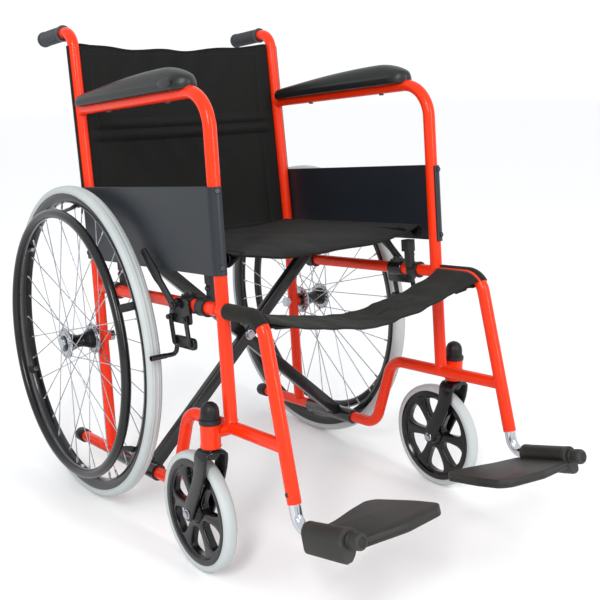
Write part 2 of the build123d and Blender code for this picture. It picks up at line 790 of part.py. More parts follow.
def main():
    os.makedirs("parts", exist_ok=True)
    paired = {
        "back_post": back_post(),
        "arm_tube": arm_tube(),
        "seat_tube": seat_tube(),
        "base_tube": base_tube(),
        "hand_grip": hand_grip(),
        "tip_cap": tip_cap(),
        "armrest_pad": armrest_pad(),
        "side_panel": side_panel(),
        "frame_screws": frame_screws(),
        "caster_cap": caster_cap(),
        "seat_saddles": seat_saddles(),
        "rear_axle": rear_axle(),
        "brake_clamp": brake_clamp(),
        "brake_lever": brake_lever(),
        "brake_link_rear": link_at(LINK_BACK),
        "brake_link_front": link_at(LINK_FRONT),
        "brake_shoe": brake_shoe(),
        "tyre": tyre(),
        "wheel_rim": wheel_rim(),
        "spoked_hub": spoked_hub(),
        "handrim": handrim(),
        "caster_fork": caster_fork(),
        "caster_core": caster_core(),
        "caster_tyre": caster_tyre(),
        "footrest_tube": footrest_tube(),
        "footplate": footplate(),
        "seat": seat_half(),
        "back": back_half(),
    }
    for name, shape in paired.items():
        export_step(shape, f"parts/{name}_right.step")
        export_step(mirrored(shape), f"parts/{name}_left.step")
    single = {
        "crossbar_a": crossbar_a(),
        "crossbar_b": crossbar_b(),
        "cross_pivot_bolt": cross_pivot_bolt(),
        "calf_strap": calf_strap(),
    }
    for name, shape in single.items():
        export_step(shape, f"parts/{name}.step")


main()
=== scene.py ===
"""Looks for the manual wheelchair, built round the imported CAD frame.

Sizes are in millimetres from the rear axle line of the untipped side frame (x to the sitter's left,
y backwards, z up). SIDE, WHEEL, CASTER and STEM turn them into metres in the row frame.
"""
import json
import math

import bmesh
import bpy
from mathutils import Matrix, Vector, noise


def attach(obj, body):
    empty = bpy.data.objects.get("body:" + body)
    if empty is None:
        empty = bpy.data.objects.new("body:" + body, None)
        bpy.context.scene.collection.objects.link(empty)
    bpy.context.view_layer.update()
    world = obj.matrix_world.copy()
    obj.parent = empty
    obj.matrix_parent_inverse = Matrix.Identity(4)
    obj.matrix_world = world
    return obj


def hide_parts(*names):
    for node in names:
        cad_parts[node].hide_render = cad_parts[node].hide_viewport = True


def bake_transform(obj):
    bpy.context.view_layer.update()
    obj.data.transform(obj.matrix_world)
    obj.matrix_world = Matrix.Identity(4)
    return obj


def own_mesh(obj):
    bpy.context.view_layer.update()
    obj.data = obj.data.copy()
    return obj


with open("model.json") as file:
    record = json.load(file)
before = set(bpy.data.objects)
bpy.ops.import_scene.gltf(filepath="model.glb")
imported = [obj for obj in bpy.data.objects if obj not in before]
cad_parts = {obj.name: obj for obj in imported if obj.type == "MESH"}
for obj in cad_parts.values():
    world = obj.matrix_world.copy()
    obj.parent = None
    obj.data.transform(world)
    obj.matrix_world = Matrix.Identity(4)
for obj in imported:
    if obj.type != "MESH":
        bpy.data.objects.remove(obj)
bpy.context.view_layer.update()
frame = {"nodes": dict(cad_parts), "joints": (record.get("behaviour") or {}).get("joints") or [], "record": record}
joints = {j["name"]: j for j in frame["joints"]}

# Sizes in millimetres. Most repeat the CAD model; the cloth and roll heights are for looks only, and
# BACK_TOP stands 14 mm above the CAD back.
SIDE_X = 238.0
TUBE_R = 11.0
SEAT_TUBE_Z = 101.0
BASE_Z = -232.0
ARM_Z = 450.0
FRONT_Y = -454.0
BACK_LEAN_Z = 180.0
BACK_LEAN = 0.0554
GRIP_Z = 603.0
GRIP_END_Y = 158.0
HANGER_TOP = (-561.5, 101.0)
HANGER_RAKE = 0.19
FOOT_TUBE_TOP = 150.0
FOOT_CORNER = 316.0
FOOT_REACH = 135.0
FOOT_TUBE_R = 9.42
RAIL_X = 212.0
RAIL_Z = 178.0
HUB_OUT = 34.0
HUB_IN = 27.8
FLANGE_R = 30.0
RIM_IN = 272.0
HANDRIM_OFFSET = 33.0
HANDRIM_R = 254.0
SEAT_FRONT = -440.0
SEAT_BACK = -26.0
STRAP_FRONT = -556.0
STRAP_BACK = -468.0
BACK_LOW = 175.0
BACK_TOP = 574.0
ROLL_EDGES = (387.0, 409.5, 431.0)
SADDLE_Y = (-400.0, -84.0)
BAR_A_Y = -161.0
BAR_B_Y = -139.0
PANEL_TOP = 298.0
SPOKE_SWING = 58.0
SPOKE_PAIRS = 9
HANDRIM_TABS = 6
GRIP_LENGTH = 102.0
LEVER_PIVOT = (-342.0, 102.0)
LEVER_TIP = (-245.0, 191.0)
LINK_Y = (-318.0, -368.0)
LINK_Z = 80.0
LINK_DROP = (-7.0, -42.0)
ROD_Y = -317.0
ROD_Z = 14.0
CLAMP_Y = -352.0
FLAP = 58.0
BEND_START = -532.5
BEND_RADIUS = 35.0

MM = Matrix.Scale(0.001, 4)


def joint_place(name):
    """Where a joint of the record stands, in row metres."""
    return Vector(joints[name]["pos_m"])


wheel_center = joint_place("rear_wheel_right_spin")
tilt_axis = Vector(joints["fold"]["axis"])
tilt = math.atan2(tilt_axis.z, -tilt_axis.y)
axle_line = Vector((0.0, wheel_center.y, wheel_center.z))
caster_center = joint_place("caster_right_spin")
stem = joint_place("caster_right_swivel")
SIDE = Matrix.Translation(axle_line) @ Matrix.Rotation(-tilt, 4, "X") @ MM
WHEEL = Matrix.Translation(wheel_center) @ MM
CASTER = Matrix.Translation(caster_center) @ MM
STEM = Matrix.Translation(Vector((stem.x, stem.y, 0.0))) @ MM


# ---------------------------------------------------------------- materials

def node(tree, kind, **values):
    """Adds a shader node and sets its inputs or its own settings."""
    made = tree.nodes.new(kind)
    for key, value in values.items():
        if key in made.inputs:
            made.inputs[key].default_value = value
        else:
            setattr(made, key, value)
    return made


def surface(name, color, rough, rough_spread=0.06, metal=0.0, coat=0.0, spec=0.5,
            grain=400.0, bump=0.05, bump_mm=0.2, vary=0.12, patch=9.0, sheen=0.0, wear=0.0):
    """A Principled material with patchy colour, uneven roughness, a fine grain and optional edge wear."""
    mat = bpy.data.materials.new(name)
    mat.use_nodes = True
    tree = mat.node_tree
    link = tree.links.new
    shader = tree.nodes["Principled BSDF"]
    shader.inputs["Metallic"].default_value = metal
    shader.inputs["Coat Weight"].default_value = coat
    shader.inputs["Coat Roughness"].default_value = 0.06
    shader.inputs["Specular IOR Level"].default_value = spec
    shader.inputs["Sheen Weight"].default_value = sheen
    place = node(tree, "ShaderNodeTexCoord")
    cloud = node(tree, "ShaderNodeTexNoise", Scale=patch, Detail=4.0)
    link(place.outputs["Object"], cloud.inputs["Vector"])
    mix = node(tree, "ShaderNodeMix", data_type="RGBA")
    mix.inputs["A"].default_value = (*[c * (1 - vary) for c in color], 1.0)
    mix.inputs["B"].default_value = (*[min(1.0, c * (1 + vary)) for c in color], 1.0)
    link(cloud.outputs["Fac"], mix.inputs["Factor"])
    link(mix.outputs["Result"], shader.inputs["Base Color"])
    spread = node(tree, "ShaderNodeMapRange")
    spread.inputs["To Min"].default_value = max(0.02, rough - rough_spread)
    spread.inputs["To Max"].default_value = min(1.0, rough + rough_spread)
    link(cloud.outputs["Fac"], spread.inputs["Value"])
    link(spread.outputs["Result"], shader.inputs["Roughness"])
    fine = node(tree, "ShaderNodeTexNoise", Scale=grain, Detail=3.0)
    link(place.outputs["Object"], fine.inputs["Vector"])
    bumps = node(tree, "ShaderNodeBump", Strength=bump, Distance=bump_mm * 0.001)
    link(fine.outputs["Fac"], bumps.inputs["Height"])
    link(bumps.outputs["Normal"], shader.inputs["Normal"])
    if wear > 0:
        edge = node(tree, "ShaderNodeNewGeometry")
        rim = node(tree, "ShaderNodeMapRange")
        rim.inputs["From Min"].default_value = 0.52
        rim.inputs["From Max"].default_value = 0.62
        rim.inputs["To Max"].default_value = wear
        link(edge.outputs["Pointiness"], rim.inputs["Value"])
        worn = node(tree, "ShaderNodeMix", data_type="RGBA")
        worn.inputs["B"].default_value = (*[min(1.0, c * 2.5 + 0.05) for c in color], 1.0)
        link(rim.outputs["Result"], worn.inputs["Factor"])
        link(mix.outputs["Result"], worn.inputs["A"])
        link(worn.outputs["Result"], shader.inputs["Base Color"])
    return mat


def woven(name, color, thread_mm, rough=0.72, sheen=0.03):
    """Nylon cloth: two crossed sets of threads, with soft patches of wear."""
    mat = surface(name, color, rough, 0.08, grain=900.0, bump=0.1, sheen=sheen, spec=0.12, vary=0.22,
                  patch=14.0)
    tree = mat.node_tree
    link = tree.links.new
    shader = tree.nodes["Principled BSDF"]
    place = node(tree, "ShaderNodeTexCoord")
    scale = 500.0 / thread_mm
    heights = []
    for axis in ("X", "DIAGONAL"):
        wave = node(tree, "ShaderNodeTexWave", bands_direction=axis, Scale=scale, Distortion=0.6)
        wave.inputs["Detail Scale"].default_value = 40.0
        link(place.outputs["Object"], wave.inputs["Vector"])
        heights.append(wave)
    cross = node(tree, "ShaderNodeMath", operation="MULTIPLY")
    link(heights[0].outputs["Fac"], cross.inputs[0])
    link(heights[1].outputs["Fac"], cross.inputs[1])
    bumps = node(tree, "ShaderNodeBump", Strength=0.35, Distance=0.0004)
    link(cross.outputs["Value"], bumps.inputs["Height"])
    link(bumps.outputs["Normal"], shader.inputs["Normal"])
    return mat


red = surface("frame_paint", (0.78, 0.030, 0.004), 0.24, 0.05, coat=0.12, spec=0.18, grain=260.0,
              bump=0.03, vary=0.06)
black = surface("black_metal", (0.005, 0.005, 0.006), 0.24, 0.06, coat=0.15, spec=0.3, grain=300.0, bump=0.04,
                wear=0.2)
steel = surface("steel", (0.42, 0.44, 0.47), 0.26, 0.10, metal=1.0, grain=500.0, bump=0.05)
dark_steel = surface("dark_steel", (0.06, 0.065, 0.07), 0.30, 0.08, metal=1.0, grain=500.0, bump=0.05)
chrome = surface("chrome", (0.56, 0.58, 0.62), 0.08, 0.03, metal=1.0, grain=200.0, bump=0.01)
tyre_grey = surface("tyre", (0.43, 0.46, 0.46), 0.62, 0.08, spec=0.3, grain=700.0, bump=0.12, vary=0.10,
                    patch=14.0)
plastic = surface("black_plastic", (0.007, 0.007, 0.008), 0.42, 0.08, spec=0.25, grain=900.0, bump=0.22,
                  wear=0.25)
foot_plastic = surface("foot_plastic", (0.015, 0.015, 0.013), 0.50, 0.07, spec=0.3, grain=1100.0, bump=0.5,
                       wear=0.3)
panel = surface("panel_plastic", (0.012, 0.015, 0.020), 0.36, 0.06, spec=0.35, grain=1200.0, bump=0.12,
                vary=0.16)
rubber = surface("grip_rubber", (0.020, 0.021, 0.026), 0.48, 0.08, spec=0.4, grain=800.0, bump=0.15, wear=0.3)
pad_skin = surface("pad", (0.009, 0.010, 0.010), 0.38, 0.07, spec=0.3, grain=650.0, bump=0.30, wear=0.3)
gloss = surface("caster_black", (0.005, 0.005, 0.006), 0.16, 0.04, coat=0.1, spec=0.3, grain=200.0, bump=0.03)
cloth = woven("cloth", (0.008, 0.008, 0.0075), 0.9)
strap_cloth = woven("strap_cloth", (0.013, 0.0135, 0.011), 1.1, 0.8, 0.05)
thread = surface("thread", (0.010, 0.010, 0.010), 0.6, 0.05, grain=2500.0, bump=0.3)

LOOKS = {
    "frame_paint": red, "black_metal": black, "steel": steel, "chrome": chrome, "tyre": tyre_grey,
    "black_plastic": plastic, "panel_plastic": panel, "grip_rubber": rubber, "pad": pad_skin, "cloth": cloth,
}
slots = {s["node"]: s["material_slot"] for s in frame["record"]["subparts"]}
for name, obj in frame["nodes"].items():
    obj.data.materials.clear()
    obj.data.materials.append(LOOKS[slots[name]])
for side in ("right", "left"):
    screws = frame["nodes"]["frame_screws_" + side]
    screws.data.materials[0] = dark_steel


# ---------------------------------------------------------------- shapes: a shape is (points, faces)

def join(*shapes):
    """Several shapes as one."""
    points, faces = [], []
    for p, f in shapes:
        shift = len(points)
        points.extend(p)
        faces.extend([tuple(i + shift for i in face) for face in f])
    return points, faces


def moved(shape, matrix):
    """The shape carried by a matrix."""
    return [matrix @ p for p in shape[0]], shape[1]


def frame_at(origin, direction, up=Vector((0.0, 0.0, 1.0))):
    """Matrix whose Z is the direction and whose X is as near to up as it can be."""
    z = Vector(direction).normalized()
    x = Vector(up) - z * Vector(up).dot(z)
    if x.length < 1e-4:
        x = Vector((1.0, 0.0, 0.0)) - z * z.x
    x.normalize()
    y = z.cross(x)
    m = Matrix((x, y, z)).transposed().to_4x4()
    m.translation = Vector(origin)
    return m


def lathe(profile, origin, axis, sides=64, closed=False):
    """Turns (distance along the axis, radius) points about the axis."""
    base = frame_at(origin, axis)
    points, faces = [], []
    for along, radius in profile:
        for k in range(sides):
            a = 2 * math.pi * k / sides
            points.append(base @ Vector((radius * math.cos(a), radius * math.sin(a), along)))
    rows = len(profile)
    for i in range(rows if closed else rows - 1):
        j = (i + 1) % rows
        for k in range(sides):
            m = (k + 1) % sides
            faces.append((i * sides + k, i * sides + m, j * sides + m, j * sides + k))
    if not closed:
        faces.append(tuple(range(sides))[::-1])
        faces.append(tuple((rows - 1) * sides + k for k in range(sides)))
    return points, faces


def loft(rings, caps=True):
    """Skins a row of rings that have the same number of points."""
    sides = len(rings[0])
    points = [Vector(p) for ring in rings for p in ring]
    faces = []
    for i in range(len(rings) - 1):
        for k in range(sides):
            m = (k + 1) % sides
            faces.append((i * sides + k, i * sides + m, (i + 1) * sides + m, (i + 1) * sides + k))
    if caps:
        faces.append(tuple(range(sides))[::-1])
        faces.append(tuple((len(rings) - 1) * sides + k for k in range(sides)))
    return points, faces


def both_ways(half):
    """A profile that is the same on both sides of its middle, from its first half."""
    return half + [(-along, r) for along, r in half[::-1]]


def rounded(points, radius, steps=10):
    """A bent line with an arc at each corner."""
    path = [Vector(points[0])]
    for i in range(1, len(points) - 1):
        before, corner, after = (Vector(points[i + d]) for d in (-1, 0, 1))
        a = (before - corner).normalized()
        b = (after - corner).normalized()
        half = a.angle(b) / 2
        reach = radius / math.tan(half)
        center = corner + (a + b).normalized() * (radius / math.sin(half))
        first, last = corner + a * reach - center, corner + b * reach - center
        for k in range(steps + 1):
            path.append(center + first.slerp(last, k / steps) * radius)
    path.append(Vector(points[-1]))
    return path


def sweep(path, radius, sides=24, caps=True, section=None, up=Vector((1.0, 0.0, 0.0))):
    """A round bar, or one of the given section, along a path that bends in one plane across up."""
    if section is None:
        turns = [2 * math.pi * k / sides for k in range(sides)]
        section = [(radius * math.cos(a), radius * math.sin(a)) for a in turns]
    rings = []
    for i, p in enumerate(path):
        ahead = path[min(i + 1, len(path) - 1)] - p
        behind = p - path[max(i - 1, 0)]
        way = sum([part.normalized() for part in (ahead, behind) if part.length], Vector())
        base = frame_at(p, way, up)
        rings.append([base @ Vector((x, y, 0.0)) for x, y in section])
    return loft(rings, caps)


def box_section(width, depth, corner, steps=4):
    """A rectangle with rounded corners, for sweep."""
    out = []
    for sx, sy, start in ((1, 1, 0), (-1, 1, 90), (-1, -1, 180), (1, -1, 270)):
        for k in range(steps + 1):
            a = math.radians(start + 90 * k / steps)
            out.append((sx * (width / 2 - corner) + corner * math.cos(a),
                        sy * (depth / 2 - corner) + corner * math.sin(a)))
    return out


def cut_plate(outline, holes, thickness, edge, place):
    """A flat plate with holes and rounded edges, from closed (x, y) outlines."""
    curve = bpy.data.curves.new("cut", "CURVE")
    curve.dimensions = "2D"
    curve.fill_mode = "BOTH"
    curve.extrude = thickness / 2 - edge
    curve.bevel_depth = edge
    curve.bevel_resolution = 2
    curve.offset = -edge
    for loop in [outline] + holes:
        line = curve.splines.new("POLY")
        line.points.add(len(loop) - 1)
        for point, (x, y) in zip(line.points, loop):
            point.co = (x, y, 0.0, 1.0)
        line.use_cyclic_u = True
    holder = bpy.data.objects.new("cut", curve)
    bpy.context.scene.collection.objects.link(holder)
    bpy.context.view_layer.update()
    mesh = bpy.data.meshes.new_from_object(holder.evaluated_get(bpy.context.evaluated_depsgraph_get()))
    points = [place @ v.co for v in mesh.vertices]
    faces = [tuple(p.vertices) for p in mesh.polygons]
    bpy.data.objects.remove(holder)
    bpy.data.meshes.remove(mesh)
    return points, faces


def circle(radius, sides=48, center=(0.0, 0.0)):
    """Points round a circle."""
    turns = [2 * math.pi * k / sides for k in range(sides)]
    return [(center[0] + radius * math.cos(a), center[1] + radius * math.sin(a)) for a in turns]


def soft_outline(corners, radius, steps=6):
    """A closed outline with its corners rounded."""
    count = len(corners)
    out = []
    for i in range(count):
        before, corner, after = (Vector((*corners[(i + d) % count], 0.0)) for d in (-1, 0, 1))
        a, b = before - corner, after - corner
        reach = min(radius, a.length * 0.45, b.length * 0.45)
        first, last = corner + a.normalized() * reach, corner + b.normalized() * reach
        for k in range(steps + 1):
            t = k / steps
            p = first * (1 - t) ** 2 + corner * 2 * t * (1 - t) + last * t * t
            out.append((p.x, p.y))
    return out


def mirrored(shape):
    """The shape for the other side of the chair."""
    return [Vector((-p.x, p.y, p.z)) for p in shape[0]], [face[::-1] for face in shape[1]]


def make(name, shape, look, body, sharp=35.0, smooth=0, merge=True):
    """Builds the object from a shape in row metres and lets it ride on its body."""
    mesh = bpy.data.meshes.new(name)
    mesh.from_pydata([tuple(p) for p in shape[0]], [], shape[1])
    work = bmesh.new()
    work.from_mesh(mesh)
    if merge:
        bmesh.ops.remove_doubles(work, verts=work.verts, dist=1e-6)
    bmesh.ops.recalc_face_normals(work, faces=work.faces)
    work.to_mesh(mesh)
    work.free()
    mesh.shade_smooth()
    mesh.set_sharp_from_angle(angle=math.radians(sharp))
    mesh.materials.append(look)
    obj = bpy.data.objects.new(name, mesh)
    bpy.context.scene.collection.objects.link(obj)
    if smooth:
        obj.modifiers.new("smooth", "SUBSURF").levels = smooth
        obj.modifiers["smooth"].render_levels = smooth
    if body:
        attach(obj, body)
    return obj


def pair(name, shape, look, body, stands_for=(), slot=None, **options):
    """The same piece on both sides: shape is the right one, in row metres."""
    made = []
    for side in ("right", "left"):
        own = shape if side == "right" else mirrored(shape)
        obj = make(f"{name}_{side}", own, look, f"{body}_{side}", **options)
        if stands_for:
            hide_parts(*[f"{n}_{side}" for n in stands_for])
        made.append(obj)
    return made


X = Vector((1.0, 0.0, 0.0))
Y = Vector((0.0, 1.0, 0.0))
Z = Vector((0.0, 0.0, 1.0))


def hex_head(origin, axis, across, height):
    """Hexagon bolt head with a chamfered top."""
    r = across / math.sqrt(3)
    rows = [(0.0, r), (height - 1.0, r), (height, r * 0.86)]
    return lathe(rows, origin, axis, sides=6)


def hanger_point(distance, forward=0.0):
    """Point (y, z) at a distance down the hanger and a distance forward along the footrest."""
    length = math.hypot(1.0, HANGER_RAKE)
    y = HANGER_TOP[0] - (distance * HANGER_RAKE + forward) / length
    z = HANGER_TOP[1] - (distance - forward * HANGER_RAKE) / length
    return (y, z)


def post_y(z):
    """How far the leaning back post has moved at a height."""
    return BACK_LEAN * (z - BACK_LEAN_Z)


# ---------------------------------------------------------------- rear wheels

def wheel_pieces():
    """Tyre, rim, spokes, hub and hand rim."""
    tread = both_ways([(-8.5, 279), (-10.5, 290.5), (-12.5, 291), (-13.9, 294), (-13.6, 298.5), (-11, 302.4),
                       (-7.6, 304), (-7, 303.6), (-3.4, 304.7), (-2.8, 304.2)])
    pair("tyre_tread", moved(lathe(tread, (0, 0, 0), X, 160, True), WHEEL), tyre_grey, "rear_wheel",
         ["tyre"], "tyre", sharp=50)
    rim = both_ways([(-4, 271.6), (-9.5, 274.5), (-11.6, 280), (-12, 289.5), (-11.4, 290.3), (-10.4, 290.2),
                     (-9.8, 286), (-8, 276.5)])
    pair("rim_channel", moved(lathe(rim, (0, 0, 0), X, 160, True), WHEEL), black, "rear_wheel",
         ["wheel_rim"], "black_metal", sharp=40)
    wires, nipples = [], []
    flanges = (-HUB_OUT + 2, HUB_IN - 2)
    for flange in flanges:
        for index in range(SPOKE_PAIRS):
            for lead in (False, True):
                side = 1 if lead else -1
                shift = 10 if flange > 0 else 0
                angle = math.radians(index * 40 + shift + (20 if lead else 0))
                at_hub = angle + math.radians(SPOKE_SWING * side)
                x_hub = flange + 2.6 * side
                near = FLANGE_R - 3
                hub_end = Vector((x_hub, near * math.cos(at_hub), near * math.sin(at_hub)))
                rim_end = Vector((0.08 * flange, (RIM_IN - 1) * math.cos(angle),
                                  (RIM_IN - 1) * math.sin(angle)))
                way = (rim_end - hub_end).normalized()
                elbow = hub_end - Vector((5 * side, 0, 0))
                path = [elbow, hub_end - X * 0.8 * side, hub_end + way * 1.2, rim_end]
                wires.append(sweep(path, 0.95, 8, up=X.cross(way)))
                head = [(-12, 1.5), (-11, 2), (-2, 2.1), (0.5, 2.6)]
                nipples.append(lathe(head, rim_end, way, 10))
    pair("spokes", moved(join(*wires), WHEEL), steel, "rear_wheel", ["spoked_hub"], "steel", merge=False)
    pair("nipples", moved(join(*nipples), WHEEL), steel, "rear_wheel", slot="steel", merge=False)
    spool = [(-HUB_OUT - 3, 8.5), (-HUB_OUT - 3, 13), (-HUB_OUT - 1.5, 15), (-HUB_OUT + 4, 16),
             (-HUB_OUT + 4.2, 20), (-HUB_OUT + 8, 19.5), (-18, 16), (-8, 12.5), (2, 12.5), (12, 16),
             (HUB_IN - 8, 19.5), (HUB_IN - 4.2, 20), (HUB_IN - 4, 16), (HUB_IN, 15), (HUB_IN, 8.5)]
    pair("hub_spool", moved(lathe(spool, (0, 0, 0), X, 48), WHEEL), gloss, "rear_wheel", slot="steel")
    discs = []
    for flange in flanges:
        holes = [circle(2.3, 12, ((FLANGE_R - 5) * math.cos(a), (FLANGE_R - 5) * math.sin(a)))
                 for a in [math.radians(20 * k + 7) for k in range(18)]]
        holes.append(circle(15, 32))
        discs.append(cut_plate(circle(FLANGE_R, 72), holes, 4, 0.8, frame_at((flange, 0, 0), X, Y)))
        lip = [(-3.2, 17), (-3.2, 21), (3.2, 21), (3.2, 17)]
        discs.append(lathe(lip, (flange, 0, 0), X, 48, True))
    pair("hub_flanges", moved(join(*discs), WHEEL), steel, "rear_wheel", slot="steel")
    turns = [math.radians(k * 15) for k in range(24)]
    ring = [(9 * math.cos(a) - HANDRIM_OFFSET, HANDRIM_R + 9 * math.sin(a)) for a in turns]
    pair("handrim_tube", moved(lathe(ring, (0, 0, 0), X, 160, True), WHEEL), black, "rear_wheel",
         ["handrim"], "black_metal")
    tabs, bolts = [], []
    for k in range(HANDRIM_TABS):
        turn = Matrix.Rotation(math.radians(60 * k + 35), 4, "X")
        run = [Vector(p) for p in ((-33, 260, 0), (-27, 262.5, 0), (-14, 266, 0), (-7, 270.3, 0),
                                   (3, 270.8, 0))]
        tabs.append(moved(sweep(run, 0, section=box_section(2.4, 15, 0.9, 2), up=Y), turn))
        bolts.append(moved(hex_head((-2, 269.8, 0), -Y, 8, 4), turn))
        bolts.append(moved(lathe([(0, 5), (1.4, 5), (1.6, 3)], (-2, 269.8, 0), -Y, 24), turn))
    pair("handrim_tabs", moved(join(*tabs), WHEEL), black, "rear_wheel", slot="black_metal")
    pair("handrim_bolts", moved(join(*bolts), WHEEL), steel, "rear_wheel", slot="steel")


# ---------------------------------------------------------------- casters

def caster_pieces():
    """Caster wheel, fork, bolt and the top of the housing."""
    tyre = both_ways([(-9.5, 88.2), (-10.8, 88.6), (-11.9, 91), (-11.6, 95.5), (-9, 98.7), (-4, 99.9)])
    pair("caster_tread", moved(lathe(tyre, (0, 0, 0), X, 96, True), CASTER), tyre_grey, "caster_wheel",
         ["caster_tyre"], "tyre", sharp=60)
    holes = []
    for k in range(6):
        loop = []
        base = math.radians(60 * k)
        for radius, turn in ((25, 17), (40, 8), (60, 6), (74, 10), (75, 30), (72, 46),
                             (58, 48), (42, 47), (28, 44)):
            a = base + math.radians(turn)
            loop.append((radius * math.cos(a), radius * math.sin(a)))
        holes.append(soft_outline(loop, 9, 3))
    web = cut_plate(circle(80, 96), holes, 15, 2.2, frame_at((0, 0, 0), X, Y))
    band = both_ways([(-10.5, 88), (-11.2, 86), (-10.8, 79), (-8, 76.5)])
    nave = both_ways([(-16.2, 6), (-16.2, 12.5), (-15, 14), (-13, 17), (-7.5, 20)])
    core = join(web, lathe(band, (0, 0, 0), X, 96, True), lathe(nave, (0, 0, 0), X, 48))
    pair("caster_web", moved(core, CASTER), gloss, "caster_wheel", ["caster_core"], "black_plastic", sharp=40)
    races = join(lathe([(-16.6, 5.4), (-16.6, 9.5), (-15.8, 9.8), (-15.8, 5.4)], (0, 0, 0), X, 32, True),
                 lathe([(16.6, 5.4), (16.6, 9.5), (15.8, 9.8), (15.8, 5.4)], (0, 0, 0), X, 32, True))
    pair("caster_races", moved(races, CASTER), steel, "caster_wheel", slot="steel")

    # Fork: one strip of changing width that arches over the wheel
    trail = (caster_center.y - stem.y) * 1000
    low = caster_center.z * 1000
    leg = [(20, trail + 2, low - 12, 6), (20, trail + 1, low - 9, 20), (20, trail, low, 27),
           (20, trail - 6, low + 14, 28), (20, trail - 16, low + 32, 27), (20, 17, 152, 27),
           (20, 8, 172, 28), (20, 3, 190, 31), (20, 1, 205, 33), (18.6, 0, 212, 34),
           (14, 0, 216.6, 34), (0, 0, 218, 34)]
    whole = leg + [(-x, y, z, w) for x, y, z, w in leg[-2::-1]]
    rings = []
    for i, (x, y, z, w) in enumerate(whole):
        here = Vector((x, y, z))
        ahead = Vector(whole[min(i + 1, len(whole) - 1)][:3])
        behind = Vector(whole[max(i - 1, 0)][:3])
        way = (ahead - behind).normalized()
        across = Y - way * way.y
        across.normalize()
        out = way.cross(across)
        rings.append([here + across * a + out * b for a, b in box_section(w, 6.6, 2.4, 3)])
    neck = [(206, 6), (206, 12.5), (212, 15.5), (219, 15.5), (221.5, 13), (223.2, 12), (223.2, 8),
            (258, 8), (258, 3)]
    body = join(loft(rings), lathe(neck, (0, 0, 0), Z, 48))
    pair("fork_arch", moved(body, STEM), gloss, "caster_fork", ["caster_fork"], "black_metal", sharp=45)
    ends = []
    for side in (-1, 1):
        origin = (side * 23.3, 0, 0)
        ends.append(lathe([(0, 8), (0.8, 8.2), (1.4, 7.6)], origin, X * side, 32))
        ends.append(hex_head((side * 24.4, 0, 0), X * side, 10.5, 4.2))
    ends.append(lathe([(-23, 4.9), (23, 4.9)], (0, 0, 0), X, 24))
    pair("fork_bolt", moved(join(*ends), CASTER), steel, "caster_fork", slot="steel")
    top = [(263.1, 6), (263.1, 17.6), (264, 18.2), (269.5, 18.2), (271, 17), (271.4, 15.6), (281, 15.4),
           (288, 14.4), (293.5, 11.5), (296.8, 7), (298.4, 2.5), (298.6, 0.5)]
    pair("housing_cap", moved(lathe(top, (0, 0, 0), Z, 48), STEM), plastic, "side", ["caster_cap"],
         "black_plastic", sharp=28)
    bead = [(0, 16.4), (0.6, 17.2), (2.4, 17.2), (3, 16.4)]
    beads = join(lathe(bead, (0, 0, 224.2), Z, 48, True), lathe(bead, (0, 0, 259.5), Z, 48, True))
    pair("housing_lips", moved(beads, STEM), red, "side", slot="frame_paint")


# ---------------------------------------------------------------- grips, caps, pads, panels, saddles

